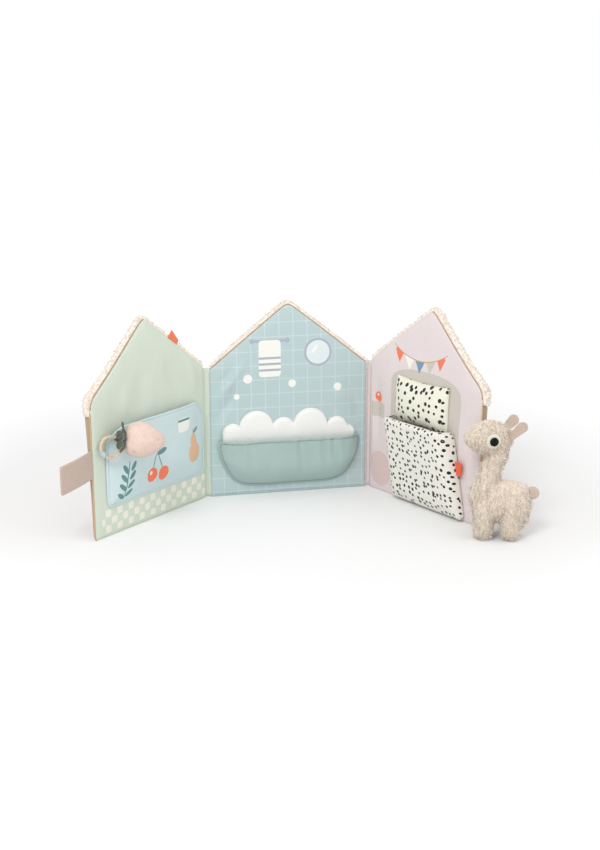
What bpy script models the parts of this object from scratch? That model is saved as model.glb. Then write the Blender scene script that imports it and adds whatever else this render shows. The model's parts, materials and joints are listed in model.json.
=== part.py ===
"""Baby soft book: three padded house pages joined at two upright folds, with pockets and a plush llama.

The pages are laid out flat in the XZ plane, fronts towards -Y, then each side page is turned about its fold.
Lengths are in metres, +Z is up, and the book stands on Z = 0.
"""
import math

import bmesh
import bpy
from mathutils import Matrix, Vector

COLLECTION_NAME = "baby_soft_book"
GAP = 0.0003

# House pages
PAGE_WIDTH = 0.200
EAVE_HEIGHT = 0.160
RIDGE_HEIGHT = 0.240
APEX_ROUNDING = 0.004
EAVE_RADIUS = 0.009
LOWER_RADIUS = 0.004
COVER_THICKNESS = 0.0016
BACK_CLOTH_THICKNESS = 0.0018
FRONT_CROWN = 0.0015
SEAM_THICKNESS = 0.0042
FOOT_THICKNESS = 0.0085
PAGE_THICKNESS = 0.0145
RIM_THICKNESS = 0.0110
PUFF_WIDTH = 0.020
WADDING_INSET = 0.007
WADDING_CLEARANCE = 0.0007
WADDING_DRAW = 0.003
PLUSH_PROUD = 0.003
ROOF_SEAM_HEIGHT = 0.148
PAGE_WALL_ROWS = 5
PAGE_ROOF_ROWS = 4

# Folds: the unpadded strip beside each one and the angle from flat
LEFT_SPINE_WIDTH = 0.006
RIGHT_SPINE_WIDTH = 0.0045
SPINE_THICKNESS = 0.0022
SPINE_EDGE_THICKNESS = 0.0010
LEFT_FOLD = math.radians(41.5)
RIGHT_FOLD = math.radians(64.5)
FOLD_AXIS_DEPTH = -0.0003
CENTRE_LEAN = 0.005
LEFT_LEAN = 0.009
RIGHT_LEAN = 0.013
LEAN_START_HEIGHT = 0.110

# Food pocket, on the left page
POCKET_WALL = 0.0024
POCKET_RIM = 0.006
POCKET_SEAM_DEPTH = 0.0040
FOOD_LEFT_MARGIN = 0.018
FOOD_FOLD_MARGIN = 0.005
FOOD_BOTTOM = 0.035
FOOD_TOP = 0.130
FOOD_CORNER = 0.028
FOOD_LOWER_CORNER = 0.008
FOOD_DEPTH = 0.0125
FOOD_BULGE_WIDTH = 0.033

# Wooden ring and strawberry, on the food pocket
RING_RADIUS = 0.0120
RING_TUBE_RADIUS = 0.0020
RING_FROM_OUTER_EDGE = 0.0175
RING_HEIGHT = 0.110
RING_DEPTH = 0.0115
RING_TURN = math.radians(25)
RING_TILT = math.radians(-10)
RING_CLEARANCE = 0.0006
LOOP_CLEARANCE = 0.0005
LOOP_CLOTH = 0.0009
LOOP_WIDTH = 0.006
LOOP_ANGLE = math.radians(214)
STRAWBERRY_LENGTH = 0.048
STRAWBERRY_HEIGHT = 0.040
STRAWBERRY_DEPTH = 0.035
STRAWBERRY_ANGLE = math.radians(-13)
STRAWBERRY_OUT = math.radians(30)
STRAWBERRY_ROLL = 0.0
STRAWBERRY_LOOP_ANGLE = math.radians(28)
STEM_PLACE = Vector((0.0045, -0.0167, 0.0120))
LEAF_REACH = 0.017
LEAF_THICKNESS = 0.0016
LEAF_COUNT = 5

# Roof label and closing strap, on the left page
LABEL_LENGTH = 0.028
LABEL_REACH = 0.011
LABEL_THICKNESS = 0.0014
LABEL_FROM_APEX = 0.043
STRAP_LENGTH = 0.053
STRAP_WIDTH = 0.033
STRAP_THICKNESS = 0.0026
STRAP_CORNER = 0.007
STRAP_HEIGHT = 0.091
STRAP_EDGE_CLEARANCE = 0.0003
STRAP_REST_ANGLE = math.radians(6)
STRAP_DROOP = 0.090
TAPE_LENGTH = 0.022
TAPE_WIDTH = 0.026
TAPE_THICKNESS = 0.0010
TAPE_CORNER = 0.003
TAPE_FROM_END = 0.004
LOOP_TAPE_LENGTH = 0.040
LOOP_TAPE_FROM_FOLD = 0.030

# Tub pocket and foam, on the centre page
TUB_WIDTH = 0.182
TUB_BOTTOM = 0.012
TUB_TOP = 0.074
TUB_SIDE_RISE = 0.050
TUB_CORNER = 0.008
TUB_DEPTH = 0.0170
TUB_FOLD_COUNT = 9
TUB_FOLD_DEPTH = 0.0011
TUB_FOLD_HEIGHT = 0.040
TUB_SIDE_BULGE = 0.022
TUB_FOOT_BULGE = 0.030
FOAM_THICKNESS = 0.0062
FOAM_BOTTOM = 0.050
FOAM_EDGE = 0.0030
FOAM_MIDDLE = -0.0075
FOAM_LOBE_PITCH = 0.069
FOAM_LOBE_RADIUS = 0.0215
FOAM_LOBE_HEIGHT = 0.0875
FOAM_BUMP_RADIUS = 0.0130
FOAM_BUMP_HEIGHT = 0.0850

# Pillow, duvet pocket and its tab, on the right page
PILLOW_WIDTH = 0.090
PILLOW_HEIGHT = 0.058
PILLOW_THICKNESS = 0.0120
PILLOW_EDGE = 0.0035
PILLOW_DRAW = 0.003
PILLOW_FROM_FOLD = 0.058
PILLOW_BOTTOM = 0.100
DUVET_WIDTH = 0.124
DUVET_TOP = 0.107
DUVET_BOTTOM = 0.003
DUVET_FROM_FOLD = 0.051
DUVET_WALL = 0.0060
DUVET_DEPTH = 0.0250
DUVET_FOOT_DEPTH = 0.0110
DUVET_CORNER = 0.009
DUVET_BULGE_WIDTH = 0.018
DUVET_EDGE_SHARE = 0.55
DUVET_TAPER = 0.13
DUVET_LEAN = 0.006
DUVET_TAB_REACH = 0.010
DUVET_TAB_HEIGHT = 0.016
DUVET_TAB_THICKNESS = 0.0022
DUVET_TAB_BOTTOM = 0.058

# Plush llama, which stands by itself
LLAMA_PLACE = Vector((0.9925, -1.045, 0.0)) * PAGE_WIDTH
LLAMA_TURN = math.radians(-20)
BODY_X = 0.0055
BODY_LENGTH = 0.069
BODY_HEIGHT = 0.053
BODY_WIDTH = 0.042
BODY_CENTRE_HEIGHT = 0.0425
LEG_RADIUS = 0.0125
LEG_HEIGHT = 0.044
LEG_SPREAD = 0.0110
FRONT_LEG_X = -0.0130
REAR_LEG_X = 0.0160
NECK_RADIUS = 0.0128
NECK_HEIGHT = 0.058
NECK_X = -0.008
NECK_LEAN = 0.70
NECK_FOOT = 0.048
HEAD_LENGTH = 0.056
HEAD_HEIGHT = 0.039
HEAD_WIDTH = 0.036
HEAD_CENTRE = Vector((-0.013, 0.0, 0.1185))
HEAD_TILT = math.radians(10)
HEAD_TURN = math.radians(24)
EAR_LENGTH = 0.030
EAR_WIDTH = 0.011
EAR_THICKNESS = 0.005
EAR_BACK = 0.36
EAR_RISE = 0.20
EAR_SPREAD = 0.0115
EAR_TILT = math.radians(42)
EAR_SPLAY = math.radians(14)
TAIL_RADIUS = 0.0075
TAIL_THICKNESS = 0.006
PATCH_RADIUS = 0.0085
PATCH_THICKNESS = 0.0012
EYE_RADIUS = 0.0048
EYE_ALONG = 0.0005
EYE_BELOW = 0.0005
EYE_BULGE = 0.0025
FOOT_CUT = 0.0005

HALF_PAGE = PAGE_WIDTH / 2
LEFT_AXIS_X = -HALF_PAGE - LEFT_SPINE_WIDTH
RIGHT_AXIS_X = HALF_PAGE + RIGHT_SPINE_WIDTH
LEFT_OUTER_X = -HALF_PAGE - PAGE_WIDTH
RIGHT_OUTER_X = HALF_PAGE + PAGE_WIDTH

# Each page: the x of its ridge, its two side edges, how far its gable leans back, and which sides are folds
PAGES = {
    "left": dict(ridge=-PAGE_WIDTH, low=LEFT_OUTER_X, high=LEFT_AXIS_X - GAP, lean=LEFT_LEAN,
                 fold_low=False, fold_high=True),
    "centre": dict(ridge=0.0, low=-HALF_PAGE, high=HALF_PAGE, lean=CENTRE_LEAN,
                   fold_low=True, fold_high=True),
    "right": dict(ridge=PAGE_WIDTH, low=RIGHT_AXIS_X + GAP, high=RIGHT_OUTER_X, lean=RIGHT_LEAN,
                  fold_low=True, fold_high=False),
}

COLOURS = {
    "sage_cotton": (0.62, 0.69, 0.58),
    "blue_cotton": (0.54, 0.67, 0.67),
    "lilac_cotton": (0.73, 0.65, 0.66),
    "pocket_cotton": (0.57, 0.70, 0.71),
    "tub_jersey": (0.36, 0.49, 0.46),
    "white_velour": (0.80, 0.80, 0.78),
    "dotted_cotton": (0.78, 0.76, 0.68),
    "wadding": (0.85, 0.85, 0.83),
    "brown_cloth": (0.42, 0.31, 0.22),
    "teddy_plush": (0.84, 0.79, 0.70),
    "taupe_velour": (0.55, 0.45, 0.38),
    "orange_tape": (1.00, 0.24, 0.08),
    "hook_tape": (0.60, 0.55, 0.50),
    "wood": (0.66, 0.56, 0.42),
    "strawberry_plush": (0.86, 0.68, 0.60),
    "leaf_felt": (0.09, 0.12, 0.09),
    "llama_plush": (0.75, 0.66, 0.55),
    "ear_felt": (0.60, 0.49, 0.42),
    "patch_felt": (0.80, 0.78, 0.74),
    "black_gloss": (0.01, 0.01, 0.01),
}
GLOSSY = {"black_gloss": 0.15, "wood": 0.5}


def material(name):
    """The named material, made the first time it is asked for."""
    found = bpy.data.materials.get(name)
    if found:
        return found
    made = bpy.data.materials.new(name)
    made.use_nodes = True
    shader = made.node_tree.nodes["Principled BSDF"]
    shader.inputs["Base Color"].default_value = (*COLOURS[name], 1.0)
    shader.inputs["Roughness"].default_value = GLOSSY.get(name, 0.9)
    shader.inputs["Metallic"].default_value = 0.0
    return made


def clear_scene():
    """Remove the scene's objects and make the two collections."""
    for old in list(bpy.data.objects):
        bpy.data.objects.remove(old, do_unlink=True)
    parts = bpy.data.collections.new(COLLECTION_NAME)
    cutters = bpy.data.collections.new("cutters")
    bpy.context.scene.collection.children.link(parts)
    bpy.context.scene.collection.children.link(cutters)
    return parts, cutters


PARTS, CUTTERS = clear_scene()


def empty(name, place, parent=None, turn=0.0):
    """An empty on a joint's axis, at a place of the flat layout, turned about Z."""
    made = bpy.data.objects.new(name, None)
    made.empty_display_size = 0.02
    PARTS.objects.link(made)
    if parent:
        made.parent = parent
        place = place - Vector(parent["flat_place"])
    made["flat_place"] = tuple(place + (Vector(parent["flat_place"]) if parent else Vector()))
    made.location = place
    made.rotation_euler = (0.0, 0.0, turn)
    return made


def add_object(name, bm, material_name, parent=None, cutter=False):
    """Turn a bmesh in layout coordinates into an object that hangs on its frame.

    Its faces are split into triangles here, so that a copy used as a cutter bends along the same lines.
    """
    bmesh.ops.recalc_face_normals(bm, faces=bm.faces)
    bmesh.ops.triangulate(bm, faces=bm.faces, quad_method="FIXED")
    mesh = bpy.data.meshes.new(name)
    bm.to_mesh(mesh)
    bm.free()
    mesh.materials.append(material(material_name))
    made = bpy.data.objects.new(name, mesh)
    (CUTTERS if cutter else PARTS).objects.link(made)
    if cutter:
        made.hide_render = True
        made.display_type = "WIRE"
    if parent:
        made.parent = parent
        mesh.transform(Matrix.Translation(-Vector(parent["flat_place"])))
    mesh.shade_smooth()
    mesh.set_sharp_from_angle(angle=math.radians(40))
    return made


def cut(target, cutter, operation="DIFFERENCE"):
    """A Boolean modifier with the exact solver."""
    step = target.modifiers.new(cutter.name, "BOOLEAN")
    step.operation = operation
    step.object = cutter
    step.solver = "EXACT"


def larger(source, by, forward=0.0):
    """A cutter with the source's shape, moved out on every side, and further towards -Y where asked."""
    bm = bmesh.new()
    bm.from_mesh(source.data)
    bm.normal_update()
    moves = [(vert, vert.normal * by * vert.calc_shell_factor()) for vert in bm.verts]
    for vert, move in moves:
        facing_front = vert.normal.y < -0.3
        vert.co += move
        if facing_front:
            vert.co.y -= forward
    mesh = bpy.data.meshes.new(source.name + "_seat")
    bm.to_mesh(mesh)
    bm.free()
    made = bpy.data.objects.new(mesh.name, mesh)
    CUTTERS.objects.link(made)
    made.parent = source.parent
    made.hide_render = True
    made.display_type = "WIRE"
    return made


def eased(count):
    """Fractions from 0 to 1 that lie closer together at both ends."""
    return [0.5 - 0.5 * math.cos(math.pi * i / count) for i in range(count + 1)]


def spread(low, high, count):
    """Places between low and high, closer together at both ends."""
    return [low + (high - low) * f for f in eased(count)]


def even(low, high, count):
    """Evenly spaced places from low to high."""
    return [low + (high - low) * i / count for i in range(count + 1)]


def slab(name, columns, rows, low, high, front, back, material_name, parent=None, cutter=False, seam=None, rows_at=even):
    """A closed solid: low(x) to high(x) in height, and front(x, z) to back(x, z) in depth.

    With a seam, rows is a pair: the rows below the seam's height and those above it.
    """
    bm = bmesh.new()
    across = len(columns) - 1
    total = rows if seam is None else sum(rows)
    bmesh.ops.create_grid(bm, x_segments=across, y_segments=total, size=0.5)
    behind = bmesh.ops.extrude_face_region(bm, geom=bm.faces[:])["geom"]
    behind = {item for item in behind if isinstance(item, bmesh.types.BMVert)}
    heights = {}
    for x in columns:
        if seam is None:
            heights[x] = rows_at(low(x), high(x), rows)
        else:
            heights[x] = even(low(x), seam, rows[0]) + even(seam, high(x), rows[1])[1:]
    for vert in bm.verts:
        x = columns[round((vert.co.x + 0.5) * across)]
        z = heights[x][round((vert.co.y + 0.5) * total)]
        y = back(x, z) if vert in behind else front(x, z)
        vert.co = (x, y, z)
    return add_object(name, bm, material_name, parent, cutter)


def corner_drop(distance, radius):
    """How far a rounded corner draws in, at a distance from the side that it meets."""
    if radius <= 0 or distance >= radius:
        return 0.0
    inside = radius - max(distance, 0.0)
    return radius - math.sqrt(max(radius * radius - inside * inside, 0.0))


def side_distances(page, x):
    """Distances from x to the page's low and high side edges."""
    return x - page["low"], page["high"] - x


def roof_line(page, x):
    """Height of the roof at x, before the eave is rounded."""
    along = abs(x - page["ridge"])
    soft = math.hypot(along, APEX_ROUNDING) - APEX_ROUNDING
    reach = math.hypot(HALF_PAGE, APEX_ROUNDING) - APEX_ROUNDING
    return RIDGE_HEIGHT - (RIDGE_HEIGHT - EAVE_HEIGHT) * soft / reach


def outer_distance(page, x):
    """Distance from x to the nearest side edge that isn't a fold."""
    low, high = side_distances(page, x)
    found = [d for d, fold in ((low, page["fold_low"]), (high, page["fold_high"])) if not fold]
    return min(found) if found else PAGE_WIDTH


def page_top(page, x):
    """Top outline of a page."""
    return roof_line(page, x) - corner_drop(outer_distance(page, x), EAVE_RADIUS)


def page_bottom(page, x):
    """Bottom outline of a page."""
    return corner_drop(outer_distance(page, x), LOWER_RADIUS)


def puff(page, x, z):
    """0 on the page's outline, 1 where the padding is full."""
    low, high = side_distances(page, x)
    slope = (RIDGE_HEIGHT - EAVE_HEIGHT) / HALF_PAGE
    to_roof = (roof_line(page, x) - z) / math.hypot(1.0, slope)
    inside = min(low, high, z, to_roof) / PUFF_WIDTH
    return 1.0 - (1.0 - min(max(inside, 0.0), 1.0)) ** 2


def lean(page, x, z):
    """How far the gable leans back, nothing at the sides and most at the ridge."""
    rise = max(z - LEAN_START_HEIGHT, 0.0) / (RIDGE_HEIGHT - LEAN_START_HEIGHT)
    across = max(1.0 - abs(x - page["ridge"]) / HALF_PAGE, 0.0)
    return page["lean"] * min(rise, 1.1) ** 2 * math.sin(across * math.pi / 2)


def front_face(page, x, z):
    """Depth of the front cover's face."""
    return lean(page, x, z) - FRONT_CROWN * puff(page, x, z)


def fold_distance(page, x):
    """Distance from x to the nearest fold edge."""
    low, high = side_distances(page, x)
    found = [d for d, fold in ((low, page["fold_low"]), (high, page["fold_high"])) if fold]
    return min(found)


def back_face(page, x, z):
    """Depth of the page's back: thin at the folds and the foot, thick at the roof."""
    rise = min(max(z / EAVE_HEIGHT, 0.0), 1.0)
    away = min(max(fold_distance(page, x) / (2 * PUFF_WIDTH), 0.0), 1.0)
    rim = SEAM_THICKNESS + (RIM_THICKNESS - SEAM_THICKNESS) * rise ** 1.5 * away
    full = FOOT_THICKNESS + (PAGE_THICKNESS - FOOT_THICKNESS) * rise
    return lean(page, x, z) + rim + (full - rim) * puff(page, x, z)


def page_columns(page, low, high):
    """Columns across a page, with one on the ridge."""
    outer = spread(low, page["ridge"], 4)
    inner = spread(page["ridge"], high, 4)
    return outer + inner[1:]


def page_layers(side, cover_material, parent):
    """Front cover, wadding, back wall cloth and roof plush of one page."""
    page = PAGES[side]
    behind_cover = COVER_THICKNESS + GAP
    columns = page_columns(page, page["low"], page["high"])
    slope = (RIDGE_HEIGHT - EAVE_HEIGHT) / HALF_PAGE
    slab(side + "_front_cover", columns, (PAGE_WALL_ROWS, PAGE_ROOF_ROWS),
         lambda x: page_bottom(page, x), lambda x: page_top(page, x),
         lambda x, z: front_face(page, x, z),
         lambda x, z: lean(page, x, z) + COVER_THICKNESS,
         cover_material, parent, seam=ROOF_SEAM_HEIGHT)

    drop = WADDING_INSET * math.hypot(1.0, slope)
    shrink = 1.0 - WADDING_INSET / HALF_PAGE
    inner = [page["ridge"] + (x - page["ridge"]) * shrink for x in columns]
    wadding = slab(side + "_wadding", inner, (PAGE_WALL_ROWS, PAGE_ROOF_ROWS),
                   lambda x: WADDING_INSET, lambda x: roof_line(page, x) - drop,
                   lambda x, z: lean(page, x, z) + COVER_THICKNESS + WADDING_CLEARANCE,
                   lambda x, z: back_face(page, x, z) - BACK_CLOTH_THICKNESS - GAP
                   - WADDING_DRAW * (1.0 - puff(page, x, z)),
                   "wadding", parent, seam=ROOF_SEAM_HEIGHT)
    hollow = larger(wadding, GAP, COVER_THICKNESS)

    wall = slab(side + "_wall_back", columns, PAGE_WALL_ROWS,
                lambda x: page_bottom(page, x), lambda x: ROOF_SEAM_HEIGHT,
                lambda x, z: lean(page, x, z) + behind_cover,
                lambda x, z: back_face(page, x, z),
                "brown_cloth", parent)
    cut(wall, hollow)

    def proud(x):
        """The plush's outline reaches past the cover at the open sides, not at the folds."""
        share = max(1.0 - outer_distance(page, x) / PUFF_WIDTH, 0.0)
        return x + math.copysign(PLUSH_PROUD * share, x - page["ridge"])

    roof_columns = [proud(x) for x in columns]
    cover_x = dict(zip(roof_columns, columns))

    roof = slab(side + "_roof_plush", roof_columns, PAGE_ROOF_ROWS,
                lambda x: ROOF_SEAM_HEIGHT + GAP,
                lambda x: page_top(page, cover_x[x]) + PLUSH_PROUD * math.hypot(1.0, slope),
                lambda x, z: lean(page, cover_x[x], z) + behind_cover,
                lambda x, z: back_face(page, cover_x[x], z),
                "teddy_plush", parent)
    cut(roof, hollow)


def spine(name, page, inner, outer, material_name):
    """The unpadded strip between the centre page and a fold, thin where the page swings."""
    def depth(x):
        share = min(abs(outer - x) / (abs(outer - inner) or 1.0), 1.0)
        return SPINE_EDGE_THICKNESS + (SPINE_THICKNESS - SPINE_EDGE_THICKNESS) * min(2 * share, 1.0)

    low, high = sorted((inner, outer))
    slab(name, even(low, high, 4), 2, lambda x: 0.0, lambda x: roof_line(page, x),
         lambda x, z: 0.0, lambda x, z: depth(x), material_name)


def shift_along(target, page, drawn):
    """Move points sideways on their page; each stays as far off the page's front as it was."""
    origin = Vector(target.parent["flat_place"])
    for vert in target.data.vertices:
        x, y, z = vert.co + origin
        moved = drawn(x, z)
        vert.co = Vector((moved, y + front_face(page, moved, z) - front_face(page, x, z), z)) - origin


def pouch(name, columns, rows, low, high, page, depth, wall, rim, material_name, parent, drawn=None):
    """A patch pocket: a cloth front whose sides and foot meet the page, open at the top."""
    def seat(x, z):
        return front_face(page, x, z) - GAP

    made = slab(name, columns, rows, low, high,
                lambda x, z: seat(x, z) - depth(x, z), seat, material_name, parent)
    first, last = columns[0] + rim, columns[-1] - rim
    inner = slab(name + "_hollow", even(first, last, len(columns) - 1), rows,
                 lambda x: low(x) + rim, lambda x: high(x) + 2 * rim,
                 lambda x, z: seat(x, z) - depth(x, z) + wall,
                 lambda x, z: seat(x, z) + rim, material_name, parent, cutter=True)
    if drawn is not None:
        shift_along(made, page, drawn)
        shift_along(inner, page, drawn)
    cut(made, inner)
    return made


def bulge(x, z, low_x, high_x, low_z, width):
    """0 at a pocket's sewn sides and foot, 1 inside."""
    inside = min(x - low_x, high_x - x, z - low_z) / width
    return 1.0 - (1.0 - min(max(inside, 0.0), 1.0)) ** 2


def food_pocket(parent):
    """Pocket on the left page, with a rounded top."""
    page = PAGES["left"]
    low_x = page["low"] + FOOD_LEFT_MARGIN
    high_x = page["high"] - FOOD_FOLD_MARGIN

    def low(x):
        return FOOD_BOTTOM + corner_drop(min(x - low_x, high_x - x), FOOD_LOWER_CORNER)

    def high(x):
        return FOOD_TOP - corner_drop(min(x - low_x, high_x - x), FOOD_CORNER)

    def depth(x, z):
        part = bulge(x, z, low_x, high_x, FOOD_BOTTOM, FOOD_BULGE_WIDTH)
        return POCKET_SEAM_DEPTH + (FOOD_DEPTH - POCKET_SEAM_DEPTH) * part

    return pouch("food_pocket", spread(low_x, high_x, 14), 8, low, high, page, depth,
                 POCKET_WALL, POCKET_RIM, "pocket_cotton", parent)


def tub_outline():
    """Outline functions of the tub pocket."""
    half = TUB_WIDTH / 2

    def low(x):
        return TUB_BOTTOM + TUB_SIDE_RISE * (abs(x) / half) ** 7

    def high(x):
        return TUB_TOP - corner_drop(half - abs(x), TUB_CORNER)

    return half, low, high


def tub_pocket():
    """Tub-shaped pocket with a gathered rim, on the centre page."""
    half, low, high = tub_outline()

    def depth(x, z):
        inside = min((half - abs(x)) / TUB_SIDE_BULGE, (z - low(x)) / TUB_FOOT_BULGE)
        part = 1.0 - (1.0 - min(max(inside, 0.0), 1.0)) ** 2
        gathered = max(z - (TUB_TOP - TUB_FOLD_HEIGHT), 0.0) / TUB_FOLD_HEIGHT
        ripple = TUB_FOLD_DEPTH * math.sin(2 * math.pi * TUB_FOLD_COUNT * x / TUB_WIDTH)
        return POCKET_SEAM_DEPTH + (TUB_DEPTH - POCKET_SEAM_DEPTH) * part + ripple * gathered * part

    return pouch("tub_pocket", even(-half, half, 36), 6, low, high, PAGES["centre"], depth,
                 POCKET_WALL, POCKET_RIM, "tub_jersey", None)


def foam_lobes():
    """Centre x, centre height and radius of each lobe of the foam, within the tub's inner width."""
    half = TUB_WIDTH / 2 - POCKET_RIM - 2 * GAP
    left_big = FOAM_MIDDLE - FOAM_LOBE_PITCH / 2
    right_big = FOAM_MIDDLE + FOAM_LOBE_PITCH / 2
    bump = FOAM_BUMP_RADIUS
    return [
        (-half + bump, FOAM_BUMP_HEIGHT - 0.004, bump),
        (left_big, FOAM_LOBE_HEIGHT, FOAM_LOBE_RADIUS),
        (FOAM_MIDDLE, FOAM_BUMP_HEIGHT, bump),
        (right_big, FOAM_LOBE_HEIGHT, FOAM_LOBE_RADIUS),
        (right_big + 0.5 * FOAM_LOBE_PITCH, FOAM_BUMP_HEIGHT - 0.002, bump),
        (half - 0.8 * bump, FOAM_BUMP_HEIGHT - 0.010, 0.8 * bump),
    ]


def foam_pad():
    """Scalloped foam pad sewn on the page behind the tub's rim."""
    lobes = foam_lobes()
    left = min(x - r for x, z, r in lobes)
    right = max(x + r for x, z, r in lobes)

    def high(x):
        tops = [z + math.sqrt(max(r * r - (x - cx) ** 2, 0.0)) for cx, z, r in lobes if abs(x - cx) <= r]
        return max(tops) if tops else FOAM_BOTTOM + 2 * FOAM_EDGE

    def thick(x, z):
        inside = min(x - left, right - x, high(x) - z, z - FOAM_BOTTOM) / 0.010
        part = 1.0 - (1.0 - min(max(inside, 0.0), 1.0)) ** 2
        return FOAM_EDGE + (FOAM_THICKNESS - FOAM_EDGE) * part

    page = PAGES["centre"]
    slab("foam_pad", even(left, right, 36), 4, lambda x: FOAM_BOTTOM, high,
         lambda x, z: front_face(page, x, z) - GAP - thick(x, z),
         lambda x, z: front_face(page, x, z) - GAP, "white_velour")


def pillow(parent):
    """Puffed pillow with drawn-in sides, sewn on the right page."""
    page = PAGES["right"]
    left = HALF_PAGE + PILLOW_FROM_FOLD
    right = left + PILLOW_WIDTH
    top = PILLOW_BOTTOM + PILLOW_HEIGHT

    def along(x):
        return (x - left) / PILLOW_WIDTH

    def low(x):
        return PILLOW_BOTTOM + PILLOW_DRAW * math.sin(math.pi * along(x))

    def high(x):
        return top - PILLOW_DRAW * math.sin(math.pi * along(x))

    def thick(x, z):
        a = max(math.sin(math.pi * along(x)), 0.0)
        b = max(math.sin(math.pi * (z - low(x)) / (high(x) - low(x))), 0.0)
        return PILLOW_EDGE + (PILLOW_THICKNESS - PILLOW_EDGE) * (a * b) ** 0.45

    slab("pillow", spread(left, right, 12), 8, low, high,
         lambda x, z: front_face(page, x, z) - GAP - thick(x, z),
         lambda x, z: front_face(page, x, z) - GAP, "dotted_cotton", parent, rows_at=spread)


def duvet_sides():
    """The duvet's two side edges in the flat layout."""
    left = HALF_PAGE + DUVET_FROM_FOLD
    return left, left + DUVET_WIDTH


def duvet_depth(x, z):
    """How far the duvet's front stands off the page: more towards its open top."""
    left, right = duvet_sides()
    rise = min(max((z - DUVET_BOTTOM) / (DUVET_TOP - DUVET_BOTTOM), 0.0), 1.0)
    full = DUVET_FOOT_DEPTH + (DUVET_DEPTH - DUVET_FOOT_DEPTH) * rise
    part = bulge(x, z, left, right, DUVET_BOTTOM, DUVET_BULGE_WIDTH)
    edge = DUVET_EDGE_SHARE * full
    return edge + (full - edge) * part


def duvet_drawn(x, z):
    """The duvet narrows to its open top and stands a little further out at its foot."""
    left = duvet_sides()[0]
    rise = min(max((z - DUVET_BOTTOM) / (DUVET_TOP - DUVET_BOTTOM), 0.0), 1.0)
    return left + (x - left) * (1.0 - DUVET_TAPER * rise) + DUVET_LEAN * (1.0 - rise)


def duvet_pocket(parent):
    """Thick padded pocket on the right page that gapes at the top."""
    left, right = duvet_sides()

    def low(x):
        return DUVET_BOTTOM + corner_drop(min(x - left, right - x), DUVET_CORNER)

    def high(x):
        return DUVET_TOP - corner_drop(min(x - left, right - x), DUVET_CORNER)

    return pouch("duvet_pocket", spread(left, right, 12), 8, low, high, PAGES["right"], duvet_depth,
                 DUVET_WALL, POCKET_RIM, "dotted_cotton", parent, duvet_drawn)


def box(name, low, high, material_name, parent=None, cutter=False, turn=None, pivot=None):
    """A box from corner to corner in the flat layout, turned by a matrix about a pivot."""
    bm = bmesh.new()
    bmesh.ops.create_cube(bm, size=1.0)
    size = Vector(high) - Vector(low)
    centre = (Vector(high) + Vector(low)) / 2
    for vert in bm.verts:
        vert.co = Vector((vert.co.x * size.x, vert.co.y * size.y, vert.co.z * size.z)) + centre
    if turn is not None:
        bmesh.ops.transform(bm, verts=bm.verts,
                            matrix=Matrix.Translation(pivot) @ turn @ Matrix.Translation(-Vector(pivot)))
    return add_object(name, bm, material_name, parent, cutter)


def soften(target, width, segments=2):
    """A Bevel on every edge, narrower than half of the thinnest side."""
    step = target.modifiers.new("softened edges", "BEVEL")
    step.width = width
    step.segments = segments
    step.limit_method = "ANGLE"


def duvet_tab(parent):
    """Bare tab sewn into the duvet's outer side."""
    left, right = duvet_sides()
    page = PAGES["right"]
    middle = DUVET_TAB_BOTTOM + DUVET_TAB_HEIGHT / 2
    depth = front_face(page, right, middle) - 0.5 * duvet_depth(right, middle)
    right = duvet_drawn(right, DUVET_TAB_BOTTOM)
    tab = box("duvet_tab", (right + GAP, depth - DUVET_TAB_THICKNESS / 2, DUVET_TAB_BOTTOM),
              (right + DUVET_TAB_REACH, depth + DUVET_TAB_THICKNESS / 2, DUVET_TAB_BOTTOM + DUVET_TAB_HEIGHT),
              "orange_tape", parent)
    soften(tab, 0.0006)


def roof_label(parent):
    """Bare label tab in the seam of the left page's inner roof edge."""
    page = PAGES["left"]
    slope = math.atan2(RIDGE_HEIGHT - EAVE_HEIGHT, HALF_PAGE)
    x = page["ridge"] + LABEL_FROM_APEX
    z = roof_line(page, x)
    eave_end = x + LABEL_LENGTH / 2
    back = lean(page, eave_end, roof_line(page, eave_end)) + COVER_THICKNESS
    pivot = Vector((x, back, z + GAP / math.cos(slope)))
    label = box("roof_label", pivot + Vector((-LABEL_LENGTH / 2, -LABEL_THICKNESS, 0.0003)),
                pivot + Vector((LABEL_LENGTH / 2, 0.0, LABEL_REACH)), "orange_tape", parent,
                turn=Matrix.Rotation(slope, 4, "Y"), pivot=pivot)
    soften(label, 0.0004)


def rounded_plate(name, length, height, thickness, corner, start, material_name, parent, round_root=False):
    """A flat strap running towards -X from its start, with rounded outer corners.

    A round root is half a cylinder about the upright line through its start.
    """
    end = start.x - length
    half = thickness / 2

    def drawn_in(x):
        return corner_drop(x - end, corner)

    def low(x):
        return start.z - height / 2 + drawn_in(x) - STRAP_DROOP * (start.x - x)

    def high(x):
        return start.z + height / 2 - drawn_in(x) - STRAP_DROOP * (start.x - x)

    def side(x):
        past = max(x - start.x, 0.0)
        return math.sqrt(max(half * half - past * past, 0.0))

    columns = [end + corner * f for f in (0.0, 0.12, 0.4, 1.0)]
    columns += even(end + corner, start.x, 5)[1:]
    if round_root:
        columns += [start.x + half * f for f in (0.5, 0.8, 0.97)]
    return slab(name, columns, 2, low, high, lambda x, z: start.y - side(x),
                lambda x, z: start.y + side(x), material_name, parent)


def strap_axis():
    """The strap's sewn edge, just outside the left page's outer edge."""
    reach = LEFT_OUTER_X - STRAP_EDGE_CLEARANCE - STRAP_THICKNESS / 2
    return Vector((reach, COVER_THICKNESS, STRAP_HEIGHT))


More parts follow.
